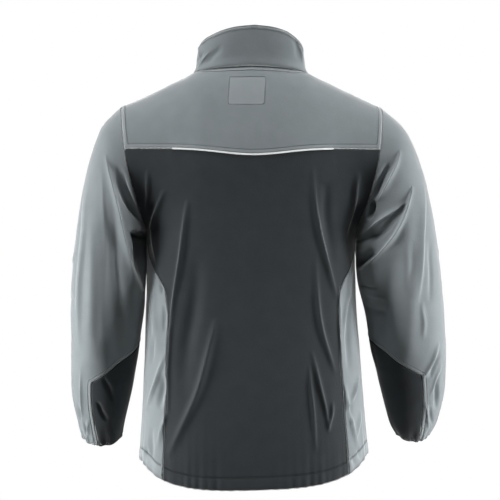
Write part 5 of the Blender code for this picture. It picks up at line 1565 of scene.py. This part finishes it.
# %% [markdown]
# ## Light and floor
# The light in the photograph comes from both sides: the outer sleeves and flanks are bright, the middle
# of the back stays dark, and the background is white. One even dome of light would be simpler, but it
# would wash out the creases. So a pair of softboxes stands beside the jacket, a weaker pair a little
# beyond it for the rims, one hangs above the shoulders, and a fill lights the front for other views.
# The floor is glowing paper far below the jacket, out of the main view.

# %% Lights
LIGHT_COLUMNS = ("name", "x", "y", "z", "width", "height", "watts", "spread", "aim_z")
# Honeycomb grids narrow the softboxes, by degrees of spread, and keep their light off the floor
LIGHTS = (
    ("left_softbox", 2.15, 0.50, -0.75, 0.8, 1.0, 5.8, 42.0, -0.47),
    ("left_rim_softbox", 2.0, -0.55, -0.60, 0.8, 1.2, 1.8, 42.0, -0.47),
    ("right_softbox", -2.15, 0.50, -0.75, 0.8, 1.0, 5.5, 42.0, -0.47),
    ("right_rim_softbox", -2.0, -0.55, -0.60, 0.8, 1.2, 2.0, 42.0, -0.47),
    ("overhead_softbox", 0.0, 0.60, 1.70, 1.6, 0.9, 10.0, 80.0, -0.33),
    ("front_fill", 0.0, -3.0, 0.2, 2.0, 2.0, 9.0, 80.0, -0.33),
)
AIM_Y = 0.05
for row in LIGHTS:
    lamp = dict(zip(LIGHT_COLUMNS, row))
    data = bpy.data.lights.new(lamp["name"], "AREA")
    data.shape = "RECTANGLE"
    data.size, data.size_y, data.energy = lamp["width"], lamp["height"], lamp["watts"]
    data.spread = math.radians(lamp["spread"])
    made = bpy.data.objects.new(lamp["name"], data)
    made.location = (lamp["x"], lamp["y"], lamp["z"])
    aim = Vector((0.0, AIM_Y, lamp["aim_z"]))
    made.rotation_euler = (aim - made.location).to_track_quat("-Z", "Y").to_euler()
    bpy.context.scene.collection.objects.link(made)
print("lights:", len(LIGHTS))

# %% White background
AMBIENT = 0.03
world = bpy.data.worlds.new("white_studio")
world.use_nodes = True
tree = world.node_tree
path = add_node(tree, "ShaderNodeLightPath")
strength = add_node(tree, "ShaderNodeMapRange", {"To Min": AMBIENT, "To Max": 1.0},
                    {"Value": path.outputs["Is Camera Ray"]})
background = tree.nodes["Background"]
background.inputs["Color"].default_value = (1.0, 1.0, 1.0, 1.0)
tree.links.new(strength.outputs["Result"], background.inputs["Strength"])
bpy.context.scene.world = world
bpy.context.scene.view_settings.view_transform = "Standard"
print("background:", world.name, "with ambient light of", AMBIENT)

# %% Floor
FLOOR_Z = -1.45
FLOOR_HALF = 3.0
floor_mesh = bpy.data.meshes.new("studio_floor")
corners = [(x * FLOOR_HALF, y * FLOOR_HALF, FLOOR_Z) for x, y in ((-1, -1), (1, -1), (1, 1), (-1, 1))]
floor_mesh.from_pydata(corners, [], [(0, 1, 2, 3)])
# Translucent paper on a light table: an even pale glow that only the camera sees, and only from above
PAPER_GLOW = 0.8
paper, tree, shader = new_material("pale_paper", {
    "Base Color": linear("#E9E9E7"), "Roughness": 0.9, "Emission Color": linear("#F4F4F2")})
path = add_node(tree, "ShaderNodeLightPath")
glow = add_node(tree, "ShaderNodeMapRange", {"To Max": PAPER_GLOW}, {"Value": path.outputs["Is Camera Ray"]})
tree.links.new(glow.outputs["Result"], shader.inputs["Emission Strength"])
facing = add_node(tree, "ShaderNodeNewGeometry")
clear = add_node(tree, "ShaderNodeBsdfTransparent")
one_sided = add_node(tree, "ShaderNodeMixShader", links={
    0: facing.outputs["Backfacing"], 1: shader.outputs["BSDF"], 2: clear.outputs["BSDF"]})
tree.links.new(one_sided.outputs["Shader"], tree.nodes["Material Output"].inputs["Surface"])
floor_mesh.materials.append(paper)
floor = bpy.data.objects.new("studio_floor", floor_mesh)
bpy.context.scene.collection.objects.link(floor)
print("floor at", FLOOR_Z, "m")

# %% [markdown]
# ## Attaching the pieces
# Every piece rides on a body of the model, and the plain solid that it stands for is hidden. The rows
# for the cloth also give the flat size that each panel was cut to before it was sewn. A list of rows is
# easier to read than a call for each piece.

# %% Cloth: each panel rides on the jacket, and its solid is hidden
CUT_COLUMNS = ("panel", "width", "length", "area", "held", "rests_on")
CUTS = (
    ("back_panel", 0.46, 0.63, 0.226, "hung", ["back_yoke_cloth"]),
    ("back_yoke", 0.50, 0.26, 0.0895, "draped", []),
    ("front_left", 0.33, 0.76, 0.213, "hung", ["back_yoke_cloth"]),
    ("front_right", 0.33, 0.76, 0.210, "hung", ["back_yoke_cloth"]),
    ("sleeve_left", 0.50, 0.62, 0.192, "hung", ["back_yoke_cloth"]),
    ("sleeve_right", 0.50, 0.62, 0.204, "hung", ["back_yoke_cloth"]),
    ("forearm_panel_left", 0.13, 0.21, 0.0201, "hung", ["sleeve_left_cloth"]),
    ("forearm_panel_right", 0.13, 0.21, 0.0218, "hung", ["sleeve_right_cloth"]),
    ("collar", 0.50, 0.085, 0.0355, "stretched", ["back_yoke_cloth"]),
)
for row in CUTS:
    cut = dict(zip(CUT_COLUMNS, row))
    piece = panels[cut["panel"]]["object"]
    dark = piece.data.materials[0] == black_fleece
    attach(piece, "jacket")
    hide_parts(cut["panel"])
print("panels handed over:", len(CUTS))

# %% Tapes and trim
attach(tapes, "jacket")
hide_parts("zip_tape")
TRIM = [(piping, "yoke_piping", "pale_piping"), (teeth, "zip_chain", "black_plastic"),
        (stitches["grey"], None, "grey_fleece"), (stitches["black"], None, "black_fleece")]
TRIM += [(bindings[name], "cuff_binding_" + name, "black_elastic") for name in SIDES.values()]
for piece, node, slot in TRIM:
    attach(piece, "jacket")
    if node:
        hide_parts(node)
print("trim handed over:", len(TRIM))
